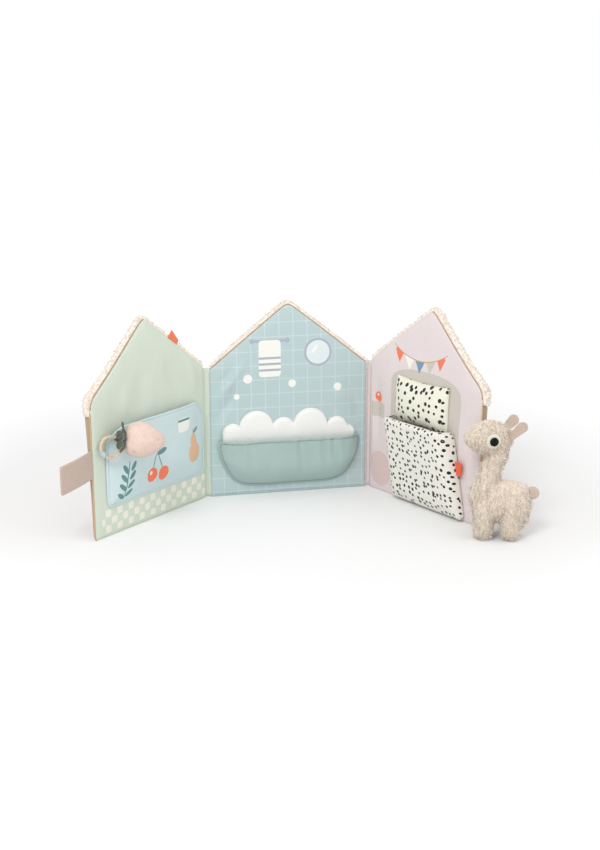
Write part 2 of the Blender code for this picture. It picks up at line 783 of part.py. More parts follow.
def closing_strap(parent):
    """Strap and the hook tape on its back."""
    start = strap_axis()
    rounded_plate("closing_strap", STRAP_LENGTH, STRAP_WIDTH, STRAP_THICKNESS, STRAP_CORNER,
                  start, "taupe_velour", parent, round_root=True)
    inward = STRAP_LENGTH - TAPE_LENGTH - TAPE_FROM_END
    tape_start = start + Vector((-inward, (STRAP_THICKNESS + TAPE_THICKNESS) / 2 + GAP, -STRAP_DROOP * inward))
    rounded_plate("strap_hook_tape", TAPE_LENGTH, TAPE_WIDTH, TAPE_THICKNESS, TAPE_CORNER, tape_start,
                  "hook_tape", parent)


def loop_tape(parent):
    """Loop tape on the back of the right page, where the strap's hooks close."""
    page = PAGES["right"]
    left = HALF_PAGE + LOOP_TAPE_FROM_FOLD
    low_z = STRAP_HEIGHT - TAPE_WIDTH / 2
    slab("strap_loop_tape", even(left, left + LOOP_TAPE_LENGTH, 6), 4,
         lambda x: low_z, lambda x: low_z + TAPE_WIDTH,
         lambda x, z: back_face(page, x, z) + GAP,
         lambda x, z: back_face(page, x, z) + GAP + TAPE_THICKNESS, "hook_tape", parent)


def ring_centre():
    """Centre of the ring, whose outer side reaches back to the page."""
    return Vector((LEFT_OUTER_X + RING_FROM_OUTER_EDGE, -RING_DEPTH, RING_HEIGHT))


def ring_turn():
    """Turn of the ring from lying flat: upright, its face turned outwards and its top tipped back."""
    return (Matrix.Rotation(-RING_TURN, 4, "Z") @ Matrix.Rotation(RING_TILT, 4, "X")
            @ Matrix.Rotation(math.pi / 2, 4, "X"))


def turned(name, points, material_name, parent, matrix, steps=16, cutter=False):
    """A profile of (radius, height) points turned once round Z, then placed by a matrix."""
    bm = bmesh.new()
    verts = [bm.verts.new((max(r, 0.0), 0.0, h)) for r, h in points]
    for a, b in zip(verts, verts[1:]):
        bm.edges.new((a, b))
    if points[0] == points[-1]:
        bmesh.ops.remove_doubles(bm, verts=bm.verts, dist=1e-7)
    bmesh.ops.spin(bm, geom=bm.verts[:] + bm.edges[:], cent=(0, 0, 0), axis=(0, 0, 1),
                   angle=2 * math.pi, steps=steps, use_merge=True)
    bmesh.ops.remove_doubles(bm, verts=bm.verts, dist=1e-6)
    bmesh.ops.transform(bm, matrix=matrix, verts=bm.verts)
    return add_object(name, bm, material_name, parent, cutter)


def circle_points(centre_radius, centre_height, radius, count):
    """A closed circle of (radius, height) points."""
    turn = [2 * math.pi * i / count for i in range(count + 1)]
    points = [(centre_radius + radius * math.cos(a), centre_height + radius * math.sin(a)) for a in turn]
    points[-1] = points[0]
    return points


def wooden_ring(parent):
    """A round wooden ring whose lower side lies in the food pocket's mouth."""
    upright = Matrix.Translation(ring_centre()) @ ring_turn()
    turned("wooden_ring", circle_points(RING_RADIUS, 0.0, RING_TUBE_RADIUS, 10), "wood", parent, upright, 36)
    room = circle_points(RING_RADIUS, 0.0, RING_TUBE_RADIUS + RING_CLEARANCE, 10)
    return turned("wooden_ring_room", room, "wood", parent, upright, 36, cutter=True)


def band_frame(angle):
    """Matrix at the ring's tube: X away from the ring's middle, Z along the tube."""
    turn = ring_turn().to_3x3()
    outward = turn @ Vector((math.cos(angle), math.sin(angle), 0.0))
    along = turn @ Vector((-math.sin(angle), math.cos(angle), 0.0))
    facing = Matrix((outward, along.cross(outward), along)).transposed().to_4x4()
    return Matrix.Translation(ring_centre() + outward * RING_RADIUS) @ facing


def band_sizes():
    """Inner and outer radius of a cloth band round the ring's tube."""
    hole = RING_TUBE_RADIUS + LOOP_CLEARANCE
    return hole, hole + LOOP_CLOTH


def ring_band(name, angle, material_name, parent):
    """A cloth band round the ring's tube."""
    hole, outer = band_sizes()
    half = LOOP_WIDTH / 2
    profile = [(hole, -half), (outer, -half), (outer, half), (hole, half), (hole, -half)]
    return turned(name, profile, material_name, parent, band_frame(angle), 20)


def ring_loop(parent):
    """The tether: a band round the ring, sewn to the page beside the food pocket's outer seam."""
    page = PAGES["left"]
    band = ring_band("ring_loop", LOOP_ANGLE, "pocket_cotton", parent)
    middle = band_frame(LOOP_ANGLE).translation
    hole, outer = band_sizes()
    half = LOOP_WIDTH * 0.32
    seat = front_face(page, middle.x, middle.z) - GAP
    leg = box("ring_loop_leg", (middle.x - half, middle.y, middle.z - half),
              (middle.x + half, seat, middle.z + half), "pocket_cotton", parent, cutter=True)
    room = turned("ring_loop_room", [(0.0, -LOOP_WIDTH), (hole, -LOOP_WIDTH), (hole, LOOP_WIDTH), (0.0, LOOP_WIDTH)],
                  "pocket_cotton", parent, band_frame(LOOP_ANGLE), 20, cutter=True)
    cut(band, leg, "UNION")
    cut(band, room)
    reach = outer + GAP
    space = [(0.0, -LOOP_WIDTH / 2 - GAP), (reach, -LOOP_WIDTH / 2 - GAP), (reach, LOOP_WIDTH / 2 + GAP),
             (0.0, LOOP_WIDTH / 2 + GAP)]
    band_room = turned("ring_loop_space", space, "pocket_cotton", parent, band_frame(LOOP_ANGLE), 20, cutter=True)
    leg_room = box("ring_loop_leg_space", (middle.x - half - GAP, middle.y, middle.z - half - GAP),
                   (middle.x + half + GAP, seat + POCKET_RIM, middle.z + half + GAP), "pocket_cotton", parent,
                   cutter=True)
    return band_room, leg_room


def strawberry_frame():
    """Matrix at the strawberry's stem end, whose +Z runs towards its tip."""
    reach = math.cos(STRAWBERRY_OUT)
    along = Vector((math.cos(STRAWBERRY_ANGLE) * reach, -math.sin(STRAWBERRY_OUT), math.sin(STRAWBERRY_ANGLE) * reach))
    side = Vector((-math.sin(STRAWBERRY_ANGLE), 0.0, math.cos(STRAWBERRY_ANGLE)))
    facing = Matrix((side, along.cross(side), along)).transposed().to_4x4()
    roll = Matrix.Rotation(STRAWBERRY_ROLL, 4, "Z")
    return Matrix.Translation(ring_centre() + STEM_PLACE) @ facing @ roll


def strawberry_profile(count):
    """(radius share, height) points: broad shoulders, then a taper to a blunt tip."""
    points = [(0.0, 0.0)]
    for i in range(1, count):
        t = i / count
        share = math.sin(math.pi * t ** 0.62) ** 0.62 * (1.0 - 0.30 * t) / 0.86
        points.append((share, t * STRAWBERRY_LENGTH))
    points.append((0.0, STRAWBERRY_LENGTH))
    return points


def strawberry_body(parent):
    """The stuffed strawberry."""
    oval = Matrix.Diagonal((STRAWBERRY_HEIGHT / 2, STRAWBERRY_DEPTH / 2, 1.0, 1.0))
    return turned("strawberry_body", strawberry_profile(9), "strawberry_plush", parent,
                  strawberry_frame() @ oval, 18)


def leaf_reach(turn):
    """Reach of the calyx at an angle: pointed leaves with notches between them."""
    return LEAF_REACH * (0.60 + 0.40 * math.cos(LEAF_COUNT * turn))


def strawberry_leaves(parent, body):
    """Felt calyx that follows the strawberry's shoulders, with the stem that joins it to its loop."""
    frame = strawberry_frame()
    squash = STRAWBERRY_DEPTH / STRAWBERRY_HEIGHT
    bm = bmesh.new()
    bmesh.ops.create_cone(bm, cap_ends=True, segments=6 * LEAF_COUNT, radius1=1.0, radius2=1.0, depth=1.0)
    for vert in bm.verts:
        turn = math.atan2(vert.co.y, vert.co.x)
        reach = leaf_reach(turn)
        upper = vert.co.z < 0
        along = -LEAF_THICKNESS if upper else STRAWBERRY_LENGTH * 0.30
        reach = reach if upper else reach * 0.9
        vert.co = Vector((math.cos(turn) * reach, math.sin(turn) * reach * squash, along))
    bmesh.ops.transform(bm, matrix=frame, verts=bm.verts)
    leaves = add_object("strawberry_leaves", bm, "leaf_felt", parent)
    cut(leaves, larger(body, GAP + LEAF_THICKNESS), "INTERSECT")
    cut(leaves, larger(body, GAP))


def strawberry_loop(parent, body):
    """A felt band round the ring that reaches to the calyx."""
    band = ring_band("strawberry_loop", STRAWBERRY_LOOP_ANGLE, "leaf_felt", parent)
    hole, outer = band_sizes()
    frame = strawberry_frame()
    centre = band_frame(STRAWBERRY_LOOP_ANGLE)
    stem = frame @ Vector((0.0, 0.0, LEAF_THICKNESS))
    start = centre @ Vector((hole + LOOP_CLOTH / 2, 0.0, 0.0))
    bm = bmesh.new()
    bmesh.ops.create_cone(bm, cap_ends=True, segments=12, radius1=LOOP_WIDTH * 0.45, radius2=LOOP_WIDTH * 0.45,
                          depth=1.0)
    length = (stem - start).length
    way = (stem - start).normalized()
    facing = way.to_track_quat("Z", "Y").to_matrix().to_4x4()
    bmesh.ops.transform(bm, verts=bm.verts, matrix=Matrix.Translation((start + stem) / 2) @ facing
                        @ Matrix.Diagonal((1.0, 0.6, length, 1.0)))
    cut(band, add_object("strawberry_stem", bm, "leaf_felt", parent, cutter=True), "UNION")
    room = turned("strawberry_loop_room", [(0.0, -LOOP_WIDTH), (hole, -LOOP_WIDTH), (hole, LOOP_WIDTH),
                                           (0.0, LOOP_WIDTH)], "leaf_felt", parent, centre, 20, cutter=True)
    cut(band, room)
    cut(band, larger(body, 2 * GAP + LEAF_THICKNESS))


def ball(name, size, matrix, material_name, parent, shape=None, sides=16, rings=10):
    """A stuffed form: a sphere of the given full size, reshaped in its own frame, then placed."""
    bm = bmesh.new()
    bmesh.ops.create_uvsphere(bm, u_segments=sides, v_segments=rings, radius=1.0)
    for vert in bm.verts:
        if shape:
            vert.co = shape(vert.co.copy())
        vert.co = Vector((vert.co.x * size[0] / 2, vert.co.y * size[1] / 2, vert.co.z * size[2] / 2))
    bmesh.ops.transform(bm, matrix=matrix, verts=bm.verts)
    return add_object(name, bm, material_name, parent)


def body_shape(co):
    """Fuller at the rump, a little lower at the chest, flatter underneath, with square quarters."""
    width = 1.0 + 0.08 * co.x
    full = 1.0 + 0.45 * (co.x * co.z) ** 2
    co = Vector((co.x * full, co.y, co.z * full))
    return Vector((co.x, co.y * width, co.z * (width if co.z > 0 else 0.92)))


def head_shape(co):
    """Tapers to a blunt snout at -X."""
    taper = 1.0 - 0.22 * max(-co.x, 0.0) ** 1.5
    return Vector((co.x, co.y * taper, co.z * taper - 0.10 * max(-co.x, 0.0) ** 2))


def leg_shape(co):
    """Straight for most of its height, with a rounded foot."""
    across = math.hypot(co.x, co.y)
    swell = across ** -0.55 if across > 1e-6 else 1.0
    return Vector((co.x * swell, co.y * swell, math.copysign(abs(co.z) ** 0.8, co.z)))


def neck_shape(co):
    """A column that is wider at the shoulders and leans back towards the head."""
    across = math.hypot(co.x, co.y)
    swell = across ** -0.5 if across > 1e-6 else 1.0
    width = swell * (1.08 - 0.14 * co.z)
    return Vector((co.x * width + NECK_LEAN * co.z, co.y * width, co.z))


def head_frame():
    """Matrix at the middle of the head, with the snout towards -X, turned to one side and tipped up."""
    return (Matrix.Translation(HEAD_CENTRE) @ Matrix.Rotation(HEAD_TURN, 4, "Z")
            @ Matrix.Rotation(HEAD_TILT, 4, "Y"))


def llama_legs(parent, body_seat):
    """Four legs, cut by the body and cut flat at the ground."""
    ground = box("ground", (-0.1, -0.1, -0.03), (0.1, 0.1, 0.0), "llama_plush", parent, cutter=True)
    for end, x in (("front", FRONT_LEG_X), ("rear", REAR_LEG_X)):
        for hand, side in (("left", 1.0), ("right", -1.0)):
            place = Matrix.Translation((x, side * LEG_SPREAD, LEG_HEIGHT / 2 - FOOT_CUT))
            size = (2 * LEG_RADIUS, 2 * (LEG_SPREAD - GAP), LEG_HEIGHT)
            leg = ball("llama_%s_%s_leg" % (end, hand), size, place, "llama_plush", parent, leg_shape, 14, 8)
            cut(leg, body_seat)
            cut(leg, ground)


def llama_face(parent, head, head_seat):
    """Ears, felt eye patches and glossy eyes, on both sides of the head."""
    patch_face = larger(head, GAP + PATCH_THICKNESS)
    eye_seat = larger(head, 2 * GAP + PATCH_THICKNESS)
    eye_face = larger(head, 2 * GAP + PATCH_THICKNESS + EYE_BULGE)
    for hand, side in (("left", 1.0), ("right", -1.0)):
        root = head_frame() @ Vector((HEAD_LENGTH * EAR_BACK, side * EAR_SPREAD, HEAD_HEIGHT * EAR_RISE))
        ear_frame = (Matrix.Translation(root) @ Matrix.Rotation(EAR_TILT, 4, "Y")
                     @ Matrix.Rotation(-side * EAR_SPLAY, 4, "X"))
        ear = ball("llama_%s_ear" % hand, (EAR_WIDTH, EAR_THICKNESS, EAR_LENGTH),
                   ear_frame @ Matrix.Translation((0.0, 0.0, EAR_LENGTH * 0.36)), "ear_felt", parent,
                   sides=12, rings=8)
        cut(ear, head_seat)
        spot = Vector((EYE_ALONG, side * HEAD_WIDTH / 2, -EYE_BELOW))
        eye_frame = head_frame() @ Matrix.Translation(spot)
        patch = ball("llama_%s_eye_patch" % hand, (2 * PATCH_RADIUS, HEAD_WIDTH / 2, 2 * PATCH_RADIUS),
                     eye_frame, "patch_felt", parent, sides=14, rings=8)
        cut(patch, head_seat)
        cut(patch, patch_face, "INTERSECT")
        eye = ball("llama_%s_eye" % hand, (2 * EYE_RADIUS, HEAD_WIDTH / 2, 2 * EYE_RADIUS), eye_frame,
                   "black_gloss", parent, sides=12, rings=8)
        cut(eye, eye_seat)
        cut(eye, eye_face, "INTERSECT")


def llama(parent):
    """A stuffed llama of plain shape, standing by itself."""
    body = ball("llama_body", (BODY_LENGTH, BODY_WIDTH, BODY_HEIGHT),
                Matrix.Translation((BODY_X, 0.0, BODY_CENTRE_HEIGHT)), "llama_plush", parent, body_shape, 18, 10)
    head = ball("llama_head", (HEAD_LENGTH, HEAD_WIDTH, HEAD_HEIGHT), head_frame(), "llama_plush", parent,
                head_shape, 18, 10)
    body_seat = larger(body, GAP)
    head_seat = larger(head, GAP)
    llama_legs(parent, body_seat)
    neck = ball("llama_neck", (2 * NECK_RADIUS, 2 * NECK_RADIUS, NECK_HEIGHT),
                Matrix.Translation((NECK_X, 0.0, NECK_FOOT + NECK_HEIGHT / 2)), "llama_plush", parent,
                neck_shape, 14, 8)
    cut(neck, body_seat)
    cut(neck, head_seat)
    llama_face(parent, head, head_seat)
    tail = ball("llama_tail", (2 * TAIL_RADIUS, TAIL_THICKNESS, 2 * TAIL_RADIUS),
                Matrix.Translation((BODY_X + BODY_LENGTH / 2, 0.0, BODY_CENTRE_HEIGHT + BODY_HEIGHT * 0.22)),
                "ear_felt", parent, sides=14, rings=8)
    cut(tail, body_seat)


def main():
    left_frame = empty("left_fold_axis", Vector((LEFT_AXIS_X, FOLD_AXIS_DEPTH, 0.0)), turn=LEFT_FOLD)
    right_frame = empty("right_fold_axis", Vector((RIGHT_AXIS_X, FOLD_AXIS_DEPTH, 0.0)), turn=-RIGHT_FOLD)
    page_layers("centre", "blue_cotton", None)
    page_layers("left", "sage_cotton", left_frame)
    page_layers("right", "lilac_cotton", right_frame)
    spine("left_fold_spine", PAGES["left"], -HALF_PAGE - GAP, LEFT_AXIS_X + GAP, "sage_cotton")
    spine("right_fold_spine", PAGES["right"], HALF_PAGE + GAP, RIGHT_AXIS_X - GAP, "lilac_cotton")
    pocket = food_pocket(left_frame)
    tub_pocket()
    foam_pad()
    pillow(right_frame)
    duvet_pocket(right_frame)
    duvet_tab(right_frame)
    roof_label(left_frame)
    strap_frame = empty("strap_axis", strap_axis(), left_frame, STRAP_REST_ANGLE)
    closing_strap(strap_frame)
    loop_tape(right_frame)
    swing_frame = empty("strawberry_swing_axis", ring_centre(), left_frame)
    ring_room = wooden_ring(swing_frame)
    loop_rooms = ring_loop(left_frame)
    for room in (ring_room, *loop_rooms):
        cut(pocket, room)
    berry = strawberry_body(swing_frame)
    strawberry_leaves(swing_frame, berry)
    strawberry_loop(swing_frame, berry)
    llama_frame = empty("llama_stand", Vector((0.0, 0.0, 0.0)))
    llama(llama_frame)
    llama_frame.location = LLAMA_PLACE
    llama_frame.rotation_euler = (0.0, 0.0, LLAMA_TURN)


main()
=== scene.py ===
# %% [markdown]
# # A fold-out cloth house book
# Three padded pages, cut like little houses, are sewn side by side and stand open on the ground.
# Each page carries cloth pockets, and a stuffed llama stands beside the last one. The script takes the
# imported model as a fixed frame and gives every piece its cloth, its seams and its pile.

# %% The frame
import json
import math

import bmesh
import bpy
from mathutils import Matrix, Vector, noise


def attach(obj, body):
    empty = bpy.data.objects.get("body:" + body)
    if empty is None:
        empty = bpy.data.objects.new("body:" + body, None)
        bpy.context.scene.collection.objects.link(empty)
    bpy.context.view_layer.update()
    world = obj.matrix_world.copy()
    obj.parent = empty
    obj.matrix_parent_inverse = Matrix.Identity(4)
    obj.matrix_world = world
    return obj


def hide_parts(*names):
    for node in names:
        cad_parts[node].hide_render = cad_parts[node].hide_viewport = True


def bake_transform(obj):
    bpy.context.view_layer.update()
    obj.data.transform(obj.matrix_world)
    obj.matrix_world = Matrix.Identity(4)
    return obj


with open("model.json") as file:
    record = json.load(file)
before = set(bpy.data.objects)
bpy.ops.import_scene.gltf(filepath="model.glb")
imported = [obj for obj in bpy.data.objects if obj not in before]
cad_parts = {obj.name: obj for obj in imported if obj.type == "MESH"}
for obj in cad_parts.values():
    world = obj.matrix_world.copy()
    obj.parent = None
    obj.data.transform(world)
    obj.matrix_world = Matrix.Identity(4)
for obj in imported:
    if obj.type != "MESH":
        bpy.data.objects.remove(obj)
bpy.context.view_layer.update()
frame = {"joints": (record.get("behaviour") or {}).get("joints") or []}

JOINTS = {joint["name"]: joint for joint in frame["joints"]}

# %% [markdown]
# ## Camera and studio
# A product photograph is taken with a long lens from a little above the toy. The camera stands on a
# circle round a target point, so its place is written as an angle to the side, an angle up and a distance.

# %% Camera
CAMERA_TARGET = Vector((0.0034, -0.050, 0.1013))
CAMERA_AZIMUTH = math.radians(-12.31)
CAMERA_ELEVATION = math.radians(15.60)
CAMERA_DISTANCE = 1.607
LENS_MM = 55.91
SENSOR_MM = 36.0


def in_scene(name, data):
    """A new object that holds the data, in the scene."""
    made = bpy.data.objects.new(name, data)
    bpy.context.scene.collection.objects.link(made)
    return made


def stand_camera():
    """A camera that looks at the target from the photograph's side and height."""
    data = bpy.data.cameras.new("camera")
    data.lens = LENS_MM
    data.sensor_width = SENSOR_MM
    away = Vector((math.sin(CAMERA_AZIMUTH) * math.cos(CAMERA_ELEVATION),
                   -math.cos(CAMERA_AZIMUTH) * math.cos(CAMERA_ELEVATION),
                   math.sin(CAMERA_ELEVATION)))
    camera = in_scene("camera", data)
    camera.location = CAMERA_TARGET + away * CAMERA_DISTANCE
    camera.rotation_euler = (-away).to_track_quat("-Z", "Y").to_euler()
    bpy.context.scene.camera = camera


stand_camera()
bpy.context.scene.view_settings.view_transform = "Standard"

# %% [markdown]
# The studio is one white ground under large soft lamps. The ground takes the toy's shadow, and only the
# camera sees it glow a little, so it ends in white without more light falling on the cloth.

# %% Lamps, world and ground
WORLD_LIGHT = 0.78
KEY_POWER = 21.0
FILL_POWER = 6.0
GROUND_SIZE = 8.0
GROUND_WHITE = 0.85
GROUND_GLOW = 0.05
GLOW_NEAR, GLOW_FAR = 0.38, 1.9


def area_lamp(name, place, size, power, aim=Vector((0.0, -0.05, 0.08))):
    """A square soft lamp that points at the toy."""
    data = bpy.data.lights.new(name, "AREA")
    data.shape = "SQUARE"
    data.size = size
    data.energy = power
    lamp = in_scene(name, data)
    lamp.location = place
    lamp.rotation_euler = (aim - Vector(place)).to_track_quat("-Z", "Y").to_euler()


def add_node(tree, kind, inputs=None, **settings):
    """A node with its settings. Each input that is named is linked to a socket or set to a value."""
    node = tree.nodes.new(kind)
    for label, value in settings.items():
        setattr(node, label, value)
    for slot, value in (inputs or {}).items():
        if isinstance(value, bpy.types.NodeSocket):
            tree.links.new(value, node.inputs[slot])
        else:
            node.inputs[slot].default_value = value
    return node


def calc(tree, operation, *values):
    """One Math node, whose inputs are sockets or numbers."""
    return add_node(tree, "ShaderNodeMath", dict(enumerate(values)), operation=operation).outputs[0]


def ranged(tree, value, low, high, bottom=0.0, top=1.0):
    """A value from low to high, stretched to run from bottom to top."""
    return add_node(tree, "ShaderNodeMapRange", {
        "Value": value, "From Min": low, "From Max": high, "To Min": bottom, "To Max": top}).outputs[0]


def own_place(tree):
    """The piece's own coordinates."""
    return tree.nodes.new("ShaderNodeTexCoord").outputs["Object"]


def looked_at(tree):
    """1 for camera, glossy and transmission rays, 0 for the rays that bring light to the toy."""
    rays = tree.nodes.new("ShaderNodeLightPath").outputs
    either = calc(tree, "MAXIMUM", rays["Is Camera Ray"], rays["Is Glossy Ray"])
    return calc(tree, "MAXIMUM", either, rays["Is Transmission Ray"])


def studio_world():
    """A plain light grey world that the camera sees as white."""
    world = bpy.data.worlds.new("studio")
    world.use_nodes = True
    tree = world.node_tree
    tree.nodes.clear()
    light, seen = [add_node(tree, "ShaderNodeBackground", {"Color": (1.0, 1.0, 1.0, 1.0), "Strength": strength})
                   for strength in (WORLD_LIGHT, 1.0)]
    mix = add_node(tree, "ShaderNodeMixShader", {"Fac": looked_at(tree), 1: light.outputs[0], 2: seen.outputs[0]})
    add_node(tree, "ShaderNodeOutputWorld", {"Surface": mix.outputs[0]})
    bpy.context.scene.world = world


def studio_ground():
    """The white ground: a matte surface that glows for camera, glossy and transmission rays alone."""
    bpy.ops.mesh.primitive_plane_add(size=GROUND_SIZE)
    ground = bpy.context.object
    ground.name = "ground"
    white = bpy.data.materials.new("ground_white")
    white.use_nodes = True
    tree = white.node_tree
    shader = tree.nodes["Principled BSDF"]
    shader.inputs["Base Color"].default_value = (GROUND_WHITE, GROUND_WHITE, GROUND_WHITE, 1.0)
    shader.inputs["Roughness"].default_value = 1.0
    shader.inputs["Specular IOR Level"].default_value = 0.0
    away = add_node(tree, "ShaderNodeVectorMath", {0: own_place(tree)}, operation="LENGTH").outputs["Value"]
    spread = ranged(tree, away, GLOW_NEAR, GLOW_FAR, GROUND_GLOW, 1.0)
    glow = add_node(tree, "ShaderNodeEmission", {"Strength": calc(tree, "MULTIPLY", looked_at(tree), spread)})
    both = add_node(tree, "ShaderNodeAddShader", {0: shader.outputs[0], 1: glow.outputs[0]})
    tree.links.new(both.outputs[0], tree.nodes["Material Output"].inputs["Surface"])
    ground.data.materials.append(white)


area_lamp("key", (-0.9, -1.5, 1.7), 0.8, KEY_POWER)
area_lamp("fill", (1.6, -1.2, 1.0), 1.6, FILL_POWER)
studio_world()
studio_ground()

# %% [markdown]
# ## Where things lie
# A flat pattern is easy to reason about, so every page is laid out flat, fronts towards -Y. A matrix then
# turns what belongs to a side page about its fold, and the finished place is kept in the mesh.

# %% The book's sizes
HALF_PAGE = 0.100
EAVE_HEIGHT = 0.160
RIDGE_HEIGHT = 0.240
ROOF_SEAM_HEIGHT = 0.148
ROOF_SLOPE = (RIDGE_HEIGHT - EAVE_HEIGHT) / HALF_PAGE
COVER_DEPTH = 0.0016
FRONT_CROWN = 0.0015
PUFF_WIDTH = 0.020
LEAN_START = 0.110
LEFT_AXIS = Vector(JOINTS["left_fold"]["pos_m"])
RIGHT_AXIS = Vector(JOINTS["right_fold"]["pos_m"])
LEFT_TURN = math.radians(41.5)
RIGHT_TURN = math.radians(-64.5)

PAGES = {
    "left": dict(ridge=-0.200, low=-0.300, high=LEFT_AXIS.x - 0.0003, lean=0.009,
                 open_low=True, open_high=False),
    "centre": dict(ridge=0.0, low=-0.100, high=0.100, lean=0.005, open_low=False, open_high=False),
    "right": dict(ridge=0.200, low=RIGHT_AXIS.x + 0.0003, high=0.300, lean=0.013,
                  open_low=False, open_high=True),
}


def turned_about(pivot, angle):
    """Matrix of a turn about an upright line."""
    return Matrix.Translation(pivot) @ Matrix.Rotation(angle, 4, "Z") @ Matrix.Translation(-pivot)


PLACED = {
    "left": turned_about(LEFT_AXIS, LEFT_TURN),
    "centre": Matrix.Identity(4),
    "right": turned_about(RIGHT_AXIS, RIGHT_TURN),
}


def roof_line(page, x):
    """Height of the roof's edge at x."""
    along = math.hypot(abs(x - page["ridge"]), 0.004) - 0.004
    return RIDGE_HEIGHT - ROOF_SLOPE * along


def corner_drop(distance, radius):
    """How far a rounded corner draws in at a distance from the side."""
    if distance >= radius:
        return 0.0
    inside = radius - max(distance, 0.0)
    return radius - math.sqrt(max(radius * radius - inside * inside, 0.0))


def open_distance(page, x):
    """Distance to the side edge that isn't a fold."""
    if page["open_low"]:
        return x - page["low"]
    return page["high"] - x if page["open_high"] else 1.0


def page_top(page, x):
    """The page's upper outline."""
    return roof_line(page, x) - corner_drop(open_distance(page, x), 0.009)


def page_bottom(page, x):
    """The page's lower outline."""
    return corner_drop(open_distance(page, x), 0.004)


def edge_distance(page, x, z):
    """Distance to the nearest edge of the page."""
    to_roof = (roof_line(page, x) - z) / math.hypot(1.0, ROOF_SLOPE)
    return max(min(x - page["low"], page["high"] - x, z, to_roof), 0.0)


def full(distance, width):
    """0 at a seam, 1 where the padding is full."""
    return 1.0 - (1.0 - min(max(distance / width, 0.0), 1.0)) ** 2


def rounded(distance, radius):
    """Quarter-round profile: 0 at the edge, 1 from one radius inwards."""
    return math.sqrt(max(1.0 - (1.0 - min(max(distance / radius, 0.0), 1.0)) ** 2, 0.0))


def lean(page, x, z):
    """How far the gable leans back."""
    rise = max(z - LEAN_START, 0.0) / (RIDGE_HEIGHT - LEAN_START)
    across = max(1.0 - abs(x - page["ridge"]) / HALF_PAGE, 0.0)
    return page["lean"] * min(rise, 1.1) ** 2 * math.sin(across * math.pi / 2)


def front_face(page, x, z):
    """Depth of the page's front."""
    return lean(page, x, z) - FRONT_CROWN * full(edge_distance(page, x, z), PUFF_WIDTH)


def ripple(x, z, size, seed=0.0):
    """Smooth seeded noise between -1 and 1."""
    return noise.noise(Vector((x / size, z / size, seed)))

# %% [markdown]
# ## Cloth as a material
# Woven cloth shows three things: its threads, with painted shade where they sink, soft blotches where the
# dye took unevenly, and fuzz that catches light at the rim. Threads and blotches are the same job for every
# cloth, so they sit in one node group with named inputs, and each material keeps its own colour and sheen.


# %% The cloth node group


def group_tree(name, inputs, outputs):
    """An empty shader group with named float inputs and float outputs."""
    tree = bpy.data.node_groups.new(name, "ShaderNodeTree")
    for label, value in inputs:
        socket = tree.interface.new_socket(name=label, in_out="INPUT", socket_type="NodeSocketFloat")
        socket.default_value = value
    for label in outputs:
        tree.interface.new_socket(name=label, in_out="OUTPUT", socket_type="NodeSocketFloat")
    return tree, tree.nodes.new("NodeGroupInput"), tree.nodes.new("NodeGroupOutput")


def uv_parts(tree):
    """The flat pattern's coordinates in metres: both together, then each by itself."""
    uv = add_node(tree, "ShaderNodeUVMap", uv_map="cloth").outputs[0]
    split = add_node(tree, "ShaderNodeSeparateXYZ", {0: uv})
    return uv, split.outputs[0], split.outputs[1]


def own_noise(tree, scale, detail=2.0):
    """Noise on the piece's own coordinates."""
    return add_node(tree, "ShaderNodeTexNoise", {
        "Vector": own_place(tree), "Scale": scale, "Detail": detail}).outputs[0]


def woven_group():
    """Threads over and under each other on the piece's own UV map, in metres, with painted shade between the
    threads, and blotches.
    """
    tree, inlet, outlet = group_tree(
        "woven_cloth", [("Thread", 0.0009), ("Blotch Size", 0.05), ("Blotch", 0.04)], ["Shade", "Height"])
    waves = []
    for part in uv_parts(tree)[1:]:
        turns = calc(tree, "DIVIDE", part, inlet.outputs["Thread"])
        waves.append(calc(tree, "SINE", calc(tree, "MULTIPLY", turns, math.pi)))
    warp, weft = [calc(tree, "ABSOLUTE", wave) for wave in waves]
    over = calc(tree, "GREATER_THAN", calc(tree, "MULTIPLY", *waves), 0.0)
    under = calc(tree, "SUBTRACT", 1.0, over)
    threads = calc(tree, "ADD", calc(tree, "MULTIPLY", warp, over), calc(tree, "MULTIPLY", weft, under))
    patches = own_noise(tree, calc(tree, "DIVIDE", 1.0, inlet.outputs["Blotch Size"]), 3.0)
    swing = calc(tree, "MULTIPLY", calc(tree, "SUBTRACT", patches, 0.5), inlet.outputs["Blotch"])
    # Painted shade: the colour is a little darker where the threads sink and lighter on their tops.
    thread_shade = calc(tree, "MULTIPLY", calc(tree, "SUBTRACT", threads, 0.6), 0.05)
    tree.links.new(threads, outlet.inputs["Height"])
    tree.links.new(calc(tree, "ADD", calc(tree, "ADD", 1.0, swing), thread_shade), outlet.inputs["Shade"])
    return tree


WOVEN = woven_group()


def paint(name, roughness=0.85, sheen=0.0, specular=0.3):
    """A named material with its Principled shader."""
    made = bpy.data.materials.new(name)
    made.use_nodes = True
    shader = made.node_tree.nodes["Principled BSDF"]
    shader.inputs["Roughness"].default_value = roughness
    shader.inputs["Sheen Weight"].default_value = sheen
    shader.inputs["Sheen Roughness"].default_value = 0.6
    shader.inputs["Specular IOR Level"].default_value = specular
    return made, made.node_tree, shader


def as_colour(value):
    """A socket as it is, or red, green and blue with nothing see-through."""
    return value if isinstance(value, bpy.types.NodeSocket) else (*value, 1.0)


def blend_colour(tree, factor, low, high, blend_type="MIX"):
    """A Mix node between two colours, which are sockets or values."""
    return add_node(tree, "ShaderNodeMix", {"Factor": factor, "A": as_colour(low), "B": as_colour(high)},
                    data_type="RGBA", blend_type=blend_type).outputs["Result"]


def add_bump(tree, shader, height, distance, strength=1.0):
    """A Bump node that feeds the shader's normal."""
    bump = add_node(tree, "ShaderNodeBump", {"Distance": distance, "Strength": strength, "Height": height})
    tree.links.new(bump.outputs[0], shader.inputs["Normal"])


